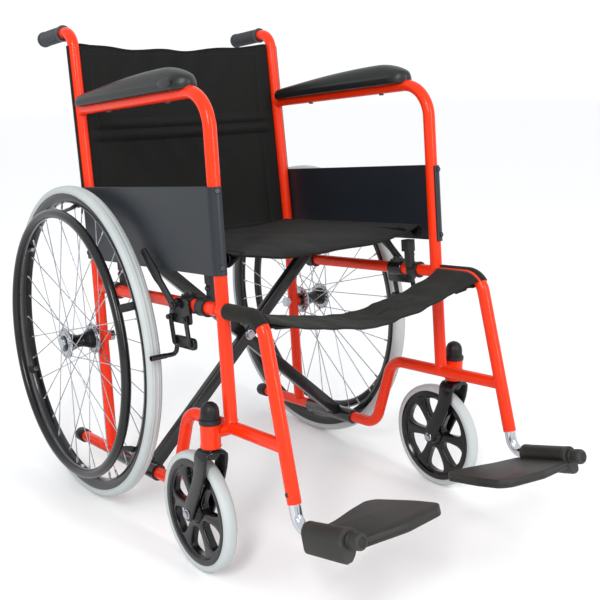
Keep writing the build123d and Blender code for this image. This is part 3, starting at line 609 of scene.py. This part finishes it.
def trim_pieces():
    """Grips, caps, armrest pads, weld beads, panel lips and seat saddles."""
    end = GRIP_END_Y + 4
    grip = [(end - GRIP_LENGTH, 12), (end - GRIP_LENGTH, 15.6), (end - 99, 16.4), (end - 95, 15.9),
            (end - 93.5, 14)]
    ribs = 14
    for k in range(ribs):
        y = end - 91 + k * 5.6
        grip += [(y, 13.6), (y + 0.8, 15), (y + 3, 15.2), (y + 3.9, 13.8)]
    grip += [(end - 10, 14.2), (end - 8.5, 15.8), (end - 3, 15.8), (end - 0.8, 14), (end, 9)]
    place = Vector((-SIDE_X, 0, GRIP_Z))
    pair("grip", moved(lathe(grip, place, Y, 48), SIDE), rubber, "side", ["hand_grip"], "grip_rubber",
         sharp=50)
    cap = [(124.2, 11.4), (124.2, 13.4), (125.5, 14), (150, 14), (154, 12.6), (156, 9)]
    pair("base_cap", moved(lathe(cap, (-SIDE_X, 0, BASE_Z), Y, 40), SIDE), plastic, "side", ["tip_cap"],
         "black_plastic")

    # Armrest pad: rounded in plan, thin at the back, crowned towards the front
    rows = []
    count = 34
    front, back = -407, -2
    low = ARM_Z + TUBE_R - 7
    for i in range(count + 1):
        t = i / count
        y = back + (front - back) * t
        nose = max(0, (y - front) / 30)
        tail = max(0, (back - y) / 14)
        plan = 25.5 * math.sqrt(max(0, 1 - (1 - min(1, nose)) ** 2.4))
        plan *= 0.80 + 0.20 * min(1, tail) ** 0.5
        plan *= 0.94 + 0.06 * min(1, t * 2.2)
        rise = 22 + 19 * math.sin(min(1, t / 0.80) * math.pi / 2)
        if t > 0.80:
            rise -= 22 * ((t - 0.80) / 0.20) ** 2.2
        plan = max(plan, 3)
        side = min(rise * 0.46, 13)
        ring = [(-plan * 0.90, 0), (-plan * 0.97, 1.5), (-plan, side * 0.6), (-plan, side),
                (-plan * 0.965, side + 1),
                (-plan * 0.93, side + 3), (-plan * 0.84, side + (rise - side) * 0.55),
                (-plan * 0.60, side + (rise - side) * 0.86), (-plan * 0.28, rise * 0.99), (0, rise)]
        ring += [(-a, b) for a, b in ring[-2::-1]]
        rows.append([Vector((-SIDE_X + a, y, low + b)) for a, b in ring])
    pads = pair("arm_pad", moved(loft(rows), SIDE), pad_skin, "side", ["armrest_pad"], "pad", sharp=70,
                smooth=1)
    recess = [(0, 9.4), (0.9, 10.2), (1.6, 9.8), (2, 8), (2.2, 3)]
    boss = moved(lathe(recess, (0, 0, 0), Z, 40), Matrix.Diagonal((0.80, 2.2, 1, 1)))
    boss = moved(boss, frame_at((-SIDE_X - 24.2, -366, low + 12.5), -X, Z))
    pair("pad_window", moved(boss, SIDE), gloss, "side", slot="pad")

    # Collars where tubes are welded to others
    welds = []
    flare = [(0, 13.4), (2, 13), (5, 11.9), (10, 11.15), (10, 10.4), (0, 10.4)]
    welds.append(lathe(flare, (-SIDE_X, post_y(ARM_Z) - 10.5, ARM_Z), -Y, 40, True))
    welds.append(lathe(flare, (-SIDE_X, -10.6, SEAT_TUBE_Z), -Y, 40, True))
    bead = [(0, 12.4), (1.4, 12.2), (2.8, 11.1), (2.8, 10.4), (0, 10.4)]
    spots = [(FRONT_Y + 10.7, SEAT_TUBE_Z, Y), (FRONT_Y - 10.7, SEAT_TUBE_Z, -Y),
             (0, BASE_Z + 10.7, Z), (FRONT_Y, -78.5, Z)]
    for y, z, way in spots:
        welds.append(lathe(bead, (-SIDE_X, y, z), way, 40, True))
    pair("welds", moved(join(*welds), SIDE), red, "side", slot="frame_paint")
    rolled = sweep([Vector((-SIDE_X - TUBE_R - 1.7, 4, PANEL_TOP)),
                    Vector((-SIDE_X - TUBE_R - 1.7, FRONT_Y + 2, PANEL_TOP))],
                   0, section=box_section(3.6, 2.2, 1, 3), up=X)
    pair("panel_lip", moved(rolled, SIDE), panel, "side", slot="panel_plastic")

    # Saddles that hold the seat rails
    shapes, heads = [], []
    for y in SADDLE_Y:
        for x in (-11.5, 8.5):
            shapes.append(lathe([(x, 11.1), (x, 15), (x + 0.6, 15.6), (x + 3, 15.6), (x + 3.6, 15),
                                 (x + 3.6, 11.1)],
                                (-SIDE_X, y - 1, SEAT_TUBE_Z), Y, 40, True))
        shapes.append(lathe([(-10, 11.1), (-10, 14.6), (10, 14.6), (10, 11.1)], (-SIDE_X, y, SEAT_TUBE_Z),
                            Y, 40, True))
        stem_run = [Vector((-223, y, SEAT_TUBE_Z + 6)), Vector((-223, y, RAIL_Z - 24))]
        shapes.append(sweep(stem_run, 0, section=box_section(13, 16, 2), up=X))
        step_run = [Vector((-221, y, RAIL_Z - 40)), Vector((-221, y, RAIL_Z - 18))]
        shapes.append(sweep(step_run, 0, section=box_section(19, 20, 2.5), up=X))
        cradle = [Vector((-RAIL_X + 12.6 * math.cos(a), y, RAIL_Z + 12.6 * math.sin(a)))
                  for a in [math.radians(190 + 10 * k) for k in range(17)]]
        shapes.append(sweep(cradle, 0, section=box_section(22, 2.6, 1, 3), up=Y))
        heads.append(hex_head((-230.2, y, SEAT_TUBE_Z + 30), -X, 8, 3.5))
    pair("saddles", moved(join(*shapes), SIDE), plastic, "side", ["seat_saddles"], "black_plastic", sharp=40)
    pair("saddle_bolts", moved(join(*heads), SIDE), dark_steel, "side", slot="steel")


# ---------------------------------------------------------------- footrests

def foot_pieces():
    """Sliding chrome tube with its plug, and the footplate on it."""
    top, corner = hanger_point(FOOT_TUBE_TOP), hanger_point(FOOT_CORNER)
    tip = hanger_point(FOOT_CORNER, FOOT_REACH)
    run = rounded([(-SIDE_X, *top), (-SIDE_X, *corner), (-SIDE_X, *tip)], 24, 12)
    pair("foot_tube", moved(sweep(run, FOOT_TUBE_R, 40), SIDE), chrome, "footrest_tube", ["footrest_tube"],
         "chrome")
    ahead = (Vector((0, tip[0], tip[1])) - Vector((0, corner[0], corner[1]))).normalized()
    tip_at = Vector((-SIDE_X, tip[0], tip[1]))
    plug = [(-14.2, 9), (-14.2, 11.8), (-13, 12.2), (-9, 12.2), (-8, 11.2), (-4, 11), (-3, 12.2),
            (3, 12.4), (7, 12), (9.4, 10.4), (10, 7), (8.6, 6), (8.4, 0.5)]
    pair("foot_plug", moved(lathe(plug, tip_at, ahead, 40), SIDE), foot_plastic, "footrest_tube",
         slot="black_plastic", sharp=30)
    button = lathe([(0, 3.6), (1.6, 3.4), (2.2, 2)], (-SIDE_X - 10.6, *hanger_point(262)), -X, 20)
    pair("hanger_bolt", moved(button, SIDE), dark_steel, "side", slot="steel")

    # Footplate, in a frame with x inboard, y back along the barrel and z up from the plate
    up = Vector((0, HANGER_RAKE, 1)).normalized()
    base = Matrix((X, up.cross(X), up)).transposed().to_4x4()
    base.translation = Vector((-SIDE_X, corner[0], corner[1]))
    outline = [(6, -26), (14, -16), (62, -8), (105, 8), (144, 18), (158, 6), (172, -70), (174, -118),
               (160, -132), (90, -138), (6, -119)]
    soft = soft_outline(outline, 7, 4)
    inner = soft_outline([(8, -32), (16, -22), (62, -15), (104, 1), (140, 11), (152, 2), (165, -71),
                          (167, -115), (156, -125), (90, -131), (10, -113)], 7, 4)
    tipped = base @ Matrix.Rotation(math.radians(-3), 4, "Y")
    plate = cut_plate(soft, [], 12, 2.2, tipped @ Matrix.Translation((0, 0, -10.5)))
    under = cut_plate(soft, [inner], 6, 1, tipped @ Matrix.Translation((0, 0, -15)))
    barrel = [(-25.2, 9.6), (-25.2, 14.6), (-26.6, 16), (-34, 16), (-35, 15.4), (-112, 15.4), (-113, 16.2),
              (-119, 16.2), (-120, 14.8), (-120, 9.6)]
    roll = moved(lathe([(-a, r) for a, r in barrel], (0, 0, 0), -Y, 48), base)
    half_round = [(15.8 * math.cos(a), 15.8 * math.sin(a)) for a in [math.pi * k / 14 for k in range(15)]]
    section = half_round + [(-15.4, -24), (-14.4, -29), (-10.5, -31.5), (-2, -30.5), (3.5, -24), (9, -14)]
    rings = []
    for y, low in ((-26, 0.86), (-29, 0.92), (-60, 0.95), (-100, 1), (-117, 1), (-119.8, 0.93)):
        rings.append([base @ Vector((x, y, z if z > 0 else z * low)) for x, z in section])
    cheek = loft(rings)
    web_run = [base @ Vector((6, -27, -8)), base @ Vector((6, -118, -8))]
    web = sweep(web_run, 0, section=box_section(14, 17, 4), up=X)
    ribs = [sweep([base @ Vector((2, y, -11.5)), base @ Vector((22, y - 1, -10.5))], 0,
                  section=box_section(4, 12, 1.4), up=Z) for y in (-38, -108)]
    whole = join(plate, under, roll, cheek, web, *ribs)
    pair("foot_plate", moved(whole, SIDE), foot_plastic, "footplate", ["footplate"], "black_plastic",
         sharp=40)


# ---------------------------------------------------------------- brakes

def brake_pieces():
    """Lever, bracket, links and shoe."""
    pivot, tip = LEVER_PIVOT, LEVER_TIP
    length = math.hypot(tip[0] - pivot[0], tip[1] - pivot[1])
    turn = math.atan2(tip[1] - pivot[1], tip[0] - pivot[0])
    outline = soft_outline([(-7, -7), (10, -8), (length * 0.40, -8), (length * 0.52, -11),
                            (length - 4, -10.5),
                            (length, 0), (length - 4, 10.5), (length * 0.52, 11), (length * 0.40, 8), (10, 8),
                            (-7, 7)], 6, 5)
    flat = Matrix((Y, Z, X)).transposed().to_4x4()
    place = Matrix.Translation((-264, pivot[0], pivot[1])) @ flat @ Matrix.Rotation(turn, 4, "Z")
    lever = cut_plate(outline, [], 4.4, 1.3, place)
    pair("lever_blade", moved(lever, SIDE), black, "brake_lever", ["brake_lever"], "black_metal", sharp=40)
    ring = [(-18, 11.1), (-18, 13.6), (-17, 14.5), (17, 14.5), (18, 13.6), (18, 11.1)]
    clamp = lathe(ring, (-SIDE_X, CLAMP_Y, SEAT_TUBE_Z), Y, 40, True)
    ear = sweep([Vector((-246, CLAMP_Y, SEAT_TUBE_Z + 13)), Vector((-230, CLAMP_Y, SEAT_TUBE_Z + 13))], 0,
                section=box_section(9, 26, 2), up=Z)
    side_outline = soft_outline([(-377, 70), (-309, 70), (-309, 90), (-332, 113), (-372, 113), (-377, 92)],
                                6, 4)
    plate = cut_plate(side_outline, [], 6, 1.2, Matrix.Translation((-252, 0, 0)) @ flat)
    pins = [lathe([(0, 2.45), (7.6, 2.45)], (-254.5, y, LINK_Z), -X, 20) for y in LINK_Y]
    pins.append(lathe([(0, 3.9), (12, 3.9)], (-254.5, *pivot), -X, 24))
    pair("brake_bracket", moved(join(clamp, ear, plate, *pins), SIDE), black, "side", ["brake_clamp"],
         "black_metal",
         sharp=40)
    heads = [hex_head((-262, y, LINK_Z), -X, 8, 3) for y in LINK_Y]
    heads += [hex_head((-266.4, *pivot), -X, 10, 4), hex_head((-238, -344, SEAT_TUBE_Z + 17.2), Z, 8, 3.6),
              hex_head((-238, -360, SEAT_TUBE_Z + 17.2), Z, 8, 3.6)]
    pair("brake_bolts", moved(join(*heads), SIDE), dark_steel, "side", slot="steel")
    ends = [(y + LINK_DROP[0], LINK_Z + LINK_DROP[1]) for y in LINK_Y]
    for name, start in (("rear", LINK_Y[0]), ("front", LINK_Y[1])):
        top = (start, LINK_Z)
        low = (start + LINK_DROP[0], LINK_Z + LINK_DROP[1])
        along = Vector(low) - Vector(top)
        normal = Vector((-along.y, along.x)).normalized()
        way = along.normalized()
        loop = []
        for center, first in ((Vector(top), 0), (Vector(low), 180)):
            for k in range(9):
                a = math.radians(first + 180 * k / 8)
                p = center + normal * 5.4 * math.cos(a) - way * 5.4 * math.sin(a)
                loop.append((p.x, p.y))
        link = cut_plate(loop, [circle(2.6, 16, top), circle(2.6, 16, low)], 3.6, 0.8,
                         Matrix.Translation((-257.8, 0, 0)) @ flat)
        pair(f"link_{name}", moved(link, SIDE), black, f"brake_link_{name}", [f"brake_link_{name}"],
             "black_metal")
    shoe_outline = soft_outline([(ends[0][0] + 10, 48), (ends[0][0] + 10, 28), (ends[1][0] - 10, 28),
                                 (ends[1][0] - 10, 48)], 9, 6)
    shoe = cut_plate(shoe_outline, [], 8, 2, Matrix.Translation((-251.5, 0, 0)) @ flat)
    rod = rounded([(-251.5, ends[0][0], 38), (-251.5, ROD_Y, ROD_Z), (-301, ROD_Y, ROD_Z)], 8, 8)
    sleeve = sweep([Vector((-272, ROD_Y, ROD_Z)), Vector((-301, ROD_Y, ROD_Z))], 4.6, 24, up=Z)
    pins = [lathe([(0, 2.45), (5, 2.45)], (-255, y, z), -X, 20) for y, z in ends]
    pair("shoe_body", moved(join(shoe, sweep(rod, 4, 24, up=Vector((0, 3, 1))), *pins), SIDE), black,
         "brake_shoe", ["brake_shoe"],
         "black_metal", sharp=40)
    pair("shoe_sleeve", moved(sleeve, SIDE), dark_steel, "brake_shoe", slot="steel")


# ---------------------------------------------------------------- cross brace

def brace_pieces():
    """The two bars of the cross brace, with their sleeves and rails, and the bolt between."""
    for name, y, side in (("crossbar_a", BAR_A_Y, 1), ("crossbar_b", BAR_B_Y, -1)):
        low = Vector((-side * SIDE_X, y, BASE_Z))
        high = Vector((side * RAIL_X, y, RAIL_Z))
        way = (high - low).normalized()
        run = [low + way * 12, high - way * 9]
        across = way.cross(Y)
        bar = sweep(run, 0, section=box_section(24, 18, 2.6), up=across)
        foot = [(-192, 11.1), (-192, 14.4), (-191.2, 15.2), (-43, 15.2), (-42, 14.4), (-42, 11.1)]
        sleeve = lathe(foot, (low.x, 0, low.z), Y, 48, True)
        rail = [(-430, 9.5), (-430, 11), (-34, 11), (-34, 9.5)]
        top = lathe(rail, (high.x, 0, high.z), Y, 40, True)
        bead = [low + way * 15, low + way * 18.5]
        weld = sweep(bead, 0, section=box_section(28, 21, 5), up=across)
        obj = make("brace_" + name[-1], moved(join(bar, sleeve, top, weld), SIDE), black, name, sharp=40)
        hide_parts(name)
    pivot_z = BASE_Z + (RAIL_Z - BASE_Z) * SIDE_X / (SIDE_X + RAIL_X)
    parts = [hex_head((0, -171.6, pivot_z), -Y, 15, 6),
             lathe([(0, 10.5), (0.8, 10.8), (1.4, 10.2)], (0, -170.2, pivot_z), -Y, 32),
             lathe([(0, 5), (50, 5)], (0, -174, pivot_z), Y, 24),
             lathe([(0.1, 9), (3.4, 9)], (0, -152, pivot_z), Y, 32),
             hex_head((0, -129.5, pivot_z), Y, 14, 8)]
    bolt = make("brace_bolt", moved(join(*parts), SIDE), steel, "crossbar_a", sharp=30)
    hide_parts("cross_pivot_bolt")


# ---------------------------------------------------------------- cloth

def wrinkle(a, b, size, amount, seed=0):
    """Smooth uneven height over a sheet."""
    return amount * (noise.noise(Vector((a / size, b / size, seed))))


def grid(point_at, across, along, keep=None):
    """A sheet from a function of two numbers in 0..1."""
    points = [point_at(i / across, j / along) for j in range(along + 1) for i in range(across + 1)]
    faces = []
    for j in range(along):
        for i in range(across):
            a = j * (across + 1) + i
            face = (a, a + 1, a + across + 2, a + across + 1)
            middle = sum((points[k] for k in face), Vector()) / 4
            if keep is None or keep(middle):
                faces.append(face)
    return points, faces


def thicken(obj, thickness):
    """Gives a sheet its thickness, centred on the surface, and leaves no modifier behind."""
    solid = obj.modifiers.new("thickness", "SOLIDIFY")
    solid.thickness = thickness
    solid.offset = 0
    bpy.context.view_layer.update()
    done = bpy.data.meshes.new_from_object(obj.evaluated_get(bpy.context.evaluated_depsgraph_get()))
    obj.modifiers.clear()
    obj.data = done


def stitches(point_at, line, lift, matrix, pitch=4.6):
    """Short raised stitches along a line of (s, t) pairs on a sheet."""
    spots = [point_at(s, t) for s, t in line]
    shapes, travelled, due = [], 0, 1
    for i in range(len(spots) - 1):
        a, b = spots[i], spots[i + 1]
        step = (b - a).length
        while due < travelled + step:
            way = (b - a).normalized()
            at = a + way * (due - travelled)
            s, t = line[i]
            e = 1e-3
            du = point_at(min(1, s + e), t) - point_at(max(0, s - e), t)
            dv = point_at(s, min(1, t + e)) - point_at(s, max(0, t - e))
            normal = du.cross(dv).normalized()
            for face in (lift, -lift):
                start = at + normal * face
                path = [start - way * 1.5 - normal * 0.3 * (1 if face > 0 else -1), start - way * 0.8,
                        start + way * 0.8, start + way * 1.5 - normal * 0.3 * (1 if face > 0 else -1)]
                shapes.append(sweep(path, 0.42, 5, up=normal))
            due += pitch
        travelled += step
    return moved(join(*shapes), matrix)


def sheet_path(points):
    """Function of 0..1 that walks evenly along a bent line of (a, b) pairs."""
    lengths = [0]
    for i in range(1, len(points)):
        lengths.append(lengths[-1] + math.dist(points[i], points[i - 1]))
    total = lengths[-1]

    def at(s):
        want = min(max(s, 0), 1) * total
        for i in range(1, len(points)):
            if want <= lengths[i] or i == len(points) - 1:
                span = lengths[i] - lengths[i - 1]
                f = (want - lengths[i - 1]) / span if span > 1e-9 else 0
                p, q = points[i - 1], points[i]
                return (p[0] + (q[0] - p[0]) * f, p[1] + (q[1] - p[1]) * f)
    return at, total


def loop_profile(center, radius, seam, first, last, steps=18):
    """Half of a sling's cross-section: from the seam on the underside round its tube to the top."""
    out = [seam]
    for k in range(steps + 1):
        a = math.radians(first + (last - first) * k / steps)
        out.append((center[0] + radius * math.cos(a), center[1] + radius * math.sin(a)))
    return out


def seat_piece():
    """Seat sling: a sleeve round each seat rail and slack cloth between, with a turned hem in front."""
    radius = TUBE_R + 1.5
    half = loop_profile((-RAIL_X, RAIL_Z), radius, (-RAIL_X + 34, RAIL_Z + radius - 3.2), -50, -270)
    flat = [(-RAIL_X + (2 * RAIL_X) * k / 60, RAIL_Z + radius) for k in range(1, 60)]
    line, total = sheet_path(half + flat + [(-x, z) for x, z in half[::-1]])
    depth = SEAT_BACK - SEAT_FRONT

    def at(s, t):
        x, z = line(s)
        y = SEAT_FRONT + depth * t
        if z > RAIL_Z + radius - 0.5 and abs(x) < RAIL_X:
            inward = 1 - (abs(x) / RAIL_X) ** 2
            front = math.exp(-(y - SEAT_FRONT) / 34)
            z -= inward ** 0.8 * (9 + 11 * front)
            z += wrinkle(x, y * 0.55, 62, 4.2, 1.7) * inward + wrinkle(x * 0.8, y, 27, 1.3, 5.1) * inward
            z -= front * 5 * inward ** 0.3
            z += 2.2 * math.sin(x / 31 + 0.9) * front * inward
        if y < SEAT_FRONT + 6:
            y += 2
        return Vector((x, y, z))

    def keep(p):
        """Leaves the sleeve open where the saddles and the brace bars hold the rail."""
        at_saddle = any(abs(p.y - y) < 12 for y in SADDLE_Y)
        at_bar = BAR_A_Y - 12 < p.y < BAR_B_Y + 12
        return not ((at_saddle or at_bar) and p.z < RAIL_Z + 8.5 and abs(p.x) > RAIL_X - 22)

    sheet = make("seat_sling", moved(grid(at, 150, 90, keep), SIDE), cloth, None, sharp=180, merge=False)
    thicken(sheet, 0.0016)
    lines = []
    for t in (0.036, 0.964):
        lines.append(stitches(at, [(0.16 + 0.68 * k / 120, t) for k in range(121)], 1, SIDE))
    for s in (0.147, 0.853):
        lines.append(stitches(at, [(s, 0.01 + 0.98 * k / 100) for k in range(101)], 1, SIDE))
    seam = make("seat_stitches", join(*lines), thread, None, merge=False)
    hem_run = [at(0.155 + 0.69 * k / 90, 0.004) + Vector((0, 1.4, -0.9)) for k in range(91)]
    hem = make("seat_hem", moved(sweep(hem_run, 2.1, 10, up=Z), SIDE), cloth, None)
    for obj in (sheet, seam, hem):
        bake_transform(obj)
    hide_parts("seat_right", "seat_left")


def back_piece():
    """Back sling: hooked round the rear of both posts, with two padded rolls across it."""
    radius = TUBE_R + 1.5
    hook = loop_profile((-SIDE_X, 2), radius, (-SIDE_X - radius + 0.4, -3), 180, 0)
    flat = [(-SIDE_X + radius + (2 * (SIDE_X - radius)) * k / 60, 2.5) for k in range(1, 60)]
    line, total = sheet_path(hook + flat + [(-x, y) for x, y in hook[::-1]])
    slope = math.atan(BACK_LEAN)
    height = (BACK_TOP - BACK_LOW) / math.cos(slope)
    rolls = (ROLL_EDGES[1:], ROLL_EDGES[:2])

    def roll_push(z):
        """How far a padded roll stands out at a height, 0 to 1."""
        for low, high in rolls:
            if low <= z <= high:
                return math.sin(math.pi * (z - low) / (high - low)) ** 0.55
        return 0

    def at(s, t):
        x, y = line(s)
        up = height * t
        z = BACK_LOW + up
        inner = max(0, 1 - (abs(x) / (SIDE_X - radius)) ** 2)
        if abs(x) < SIDE_X - radius:
            y += 26 * inner ** 0.9 * (0.75 + 0.35 * math.sin(math.pi * min(1, t * 1.05)))
            flat_part = min(1, (SIDE_X - radius - abs(x)) / 30)
            y -= 9 * roll_push(z) * flat_part
            band = math.exp(-((z - 340) / 42) ** 2) + math.exp(-((z - 520) / 48) ** 2)
            y += 4.4 * band * math.sin(x / 11 + 1.5 * math.sin(z / 60)) * inner ** 2 * (1 - roll_push(z))
            y += (wrinkle(x, z * 0.4, 48, 3.6, 3.3) * inner
                  + wrinkle(x * 1.3, z * 0.6, 20, 1.2, 8) * inner)
            y += (2.2 * math.exp(-((abs(x) - 198) / 3) ** 2)
                  - 1.2 * math.exp(-((abs(x) - 212) / 9) ** 2))
            if t > 0.97:
                z += (5 - 11 * inner * (1 + 0.25 * math.sin(x / 22))) * (t - 0.97) / 0.03
        lean = Vector((0, math.sin(slope), math.cos(slope)))
        away = Vector((0, math.cos(slope), -math.sin(slope)))
        return Vector((x, post_y(BACK_LOW), BACK_LOW)) + lean * (z - BACK_LOW) + away * y

    sheet = make("back_sling", moved(grid(at, 170, 190), SIDE), cloth, None, sharp=180, merge=False)
    thicken(sheet, 0.0018)
    lines = []
    for z in (*ROLL_EDGES, BACK_TOP - 14, BACK_LOW + 12):
        t = (z - BACK_LOW) / height
        lines.append(stitches(at, [(0.10 + 0.80 * k / 130, t) for k in range(131)], 1.15, SIDE))
    for s in (0.128, 0.872):
        lines.append(stitches(at, [(s, 0.012 + 0.97 * k / 150) for k in range(151)], 1.15, SIDE))
    seam = make("back_stitches", join(*lines), thread, None, merge=False)
    top_run = [at(0.09 + 0.82 * k / 90, 0.997) for k in range(91)]
    piping = make("back_hem", moved(sweep(top_run, 2.3, 10, up=Z), SIDE), cloth, None)
    for obj in (sheet, seam, piping):
        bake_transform(obj)
    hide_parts("back_right", "back_left")


def strap_piece():
    """Calf strap: a loop round each side tube down to its bend, and a slack band between."""
    radius = TUBE_R + 1.4

    def drop(y):
        """How far the side tube has fallen below its straight run."""
        if y > BEND_START:
            return 0
        past = min(BEND_START - y, BEND_RADIUS - 1)
        return BEND_RADIUS - math.sqrt(BEND_RADIUS ** 2 - past ** 2)

    half = loop_profile((-SIDE_X, 0), radius, (-SIDE_X + FLAP, -8), -70, -285)
    inner_x = half[-1][0]
    flat = [(inner_x - 2 * inner_x * k / 70, 0) for k in range(1, 70)]
    line, total = sheet_path(half + flat + [(-x, z) for x, z in half[::-1]])
    depth = STRAP_BACK - STRAP_FRONT
    end_z = half[-1][1]

    def sag(x, y):
        """Height of the slack band."""
        s = min(1, abs(x) / abs(inner_x))
        front = (STRAP_BACK - y) / depth
        middle = -41 - 11.5 * front
        edge = end_z - drop(y) * 0.9
        return middle + (edge - middle) * (0.76 * s ** 1.5 + 0.24 * s ** 7)

    def at(s, t):
        x, z = line(s)
        y = STRAP_FRONT + depth * t
        in_band = abs(z) < 1e-6
        in_flap = s < 0.045 or s > 0.955
        run = STRAP_BACK - (STRAP_BACK - STRAP_FRONT + 9) * (1 - t)
        turn = max(0, BEND_START - run) / BEND_RADIUS
        along = max(run, BEND_START) - BEND_RADIUS * math.sin(turn)
        fall = BEND_RADIUS * (1 - math.cos(turn))

        def on_loop(height):
            """A point over the side tube, following its bend."""
            return Vector((0, along - height * math.sin(turn), height * math.cos(turn) - fall))

        if in_band:
            reach = min(1, abs(x) / abs(inner_x))
            z = sag(x, y)
            free = 1 - reach ** 4
            z += wrinkle(x, y * 0.5, 45, 3.4, 2.2) * free + wrinkle(x, y, 18, 1, 6) * free
            hem = on_loop(end_z) - Vector((0, y, sag(inner_x, y)))
            y += wrinkle(x, 0, 38, 5, 4.4 + (1 if t > 0.5 else 0)) * free
            y += hem.y * reach ** 10
            z += hem.z * reach ** 10
        else:
            spot = on_loop(z)
            if in_flap or z < -radius * 0.9:
                edge = sag(-SIDE_X + FLAP, y) - 3.4
                f = min(1, max(0, (SIDE_X - abs(x)) / FLAP))
                spot = spot * (1 - f) + Vector((0, y, edge)) * f
            y, z = spot.y, spot.z
        return Vector((x, y, SEAT_TUBE_Z + z))

    sheet = make("calf_sling", moved(grid(at, 190, 28), SIDE), strap_cloth, None, sharp=180, merge=False)
    thicken(sheet, 0.0022)
    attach(sheet, "side_right")
    lines = []
    for t in (0.05, 0.95):
        lines.append(stitches(at, [(0.14 + 0.72 * k / 120, t) for k in range(121)], 1.3, SIDE))
    seam = make("calf_stitches", join(*lines), thread, "side_right", merge=False)
    for obj in (sheet, seam):
        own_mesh(obj)
    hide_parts("calf_strap")


wheel_pieces()
caster_pieces()
trim_pieces()
foot_pieces()
brake_pieces()
brace_pieces()
seat_piece()
back_piece()
strap_piece()


# ---------------------------------------------------------------- stage, light and camera

floor_mesh = bpy.data.meshes.new("floor")
floor_mesh.from_pydata([(-30, -30, 0), (30, -30, 0), (30, 30, 0), (-30, 30, 0)], [], [(0, 1, 2, 3)])
floor = bpy.data.objects.new("floor", floor_mesh)
bpy.context.scene.collection.objects.link(floor)
floor.data.materials.append(surface("floor", (0.94, 0.94, 0.94), 0.5, 0.05, grain=30.0, bump=0.0, vary=0.01))

world = bpy.data.worlds.new("studio")
bpy.context.scene.world = world
world.use_nodes = True
world.node_tree.nodes["Background"].inputs["Color"].default_value = (0.97, 0.985, 1.0, 1)
world.node_tree.nodes["Background"].inputs["Strength"].default_value = 1.05
bpy.context.scene.view_settings.view_transform = "Standard"


def area(name, place, target, size, power):
    """A soft rectangular lamp that looks at a target."""
    data = bpy.data.lights.new(name, "AREA")
    data.shape = "RECTANGLE"
    data.size, data.size_y = size
    data.energy = power
    lamp = bpy.data.objects.new(name, data)
    lamp.location = place
    lamp.rotation_euler = (Vector(target) - Vector(place)).to_track_quat("-Z", "Y").to_euler()
    bpy.context.scene.collection.objects.link(lamp)


area("key", (-2.4, -2.2, 2.4), (0, 0, 0.5), (0.5, 1.6), 70)
area("front", (0.4, -3.2, 1.6), (0, 0, 0.5), (0.4, 2.0), 40)

camera_data = bpy.data.cameras.new("camera")
camera_data.sensor_width = 36.0
camera_data.lens = 56.5
camera_data.shift_x = 0.084
camera_data.shift_y = -0.0944
camera = bpy.data.objects.new("camera", camera_data)
camera.location = (-1.0243, -1.4361, 0.7843)
aim = Matrix.Rotation(math.radians(-34.45), 3, "Z") @ Matrix.Rotation(math.radians(80.66), 3, "X")
aim = aim @ Matrix.Rotation(math.radians(-1.62), 3, "Z")
camera.rotation_euler = aim.to_euler()
bpy.context.scene.collection.objects.link(camera)
bpy.context.scene.camera = camera
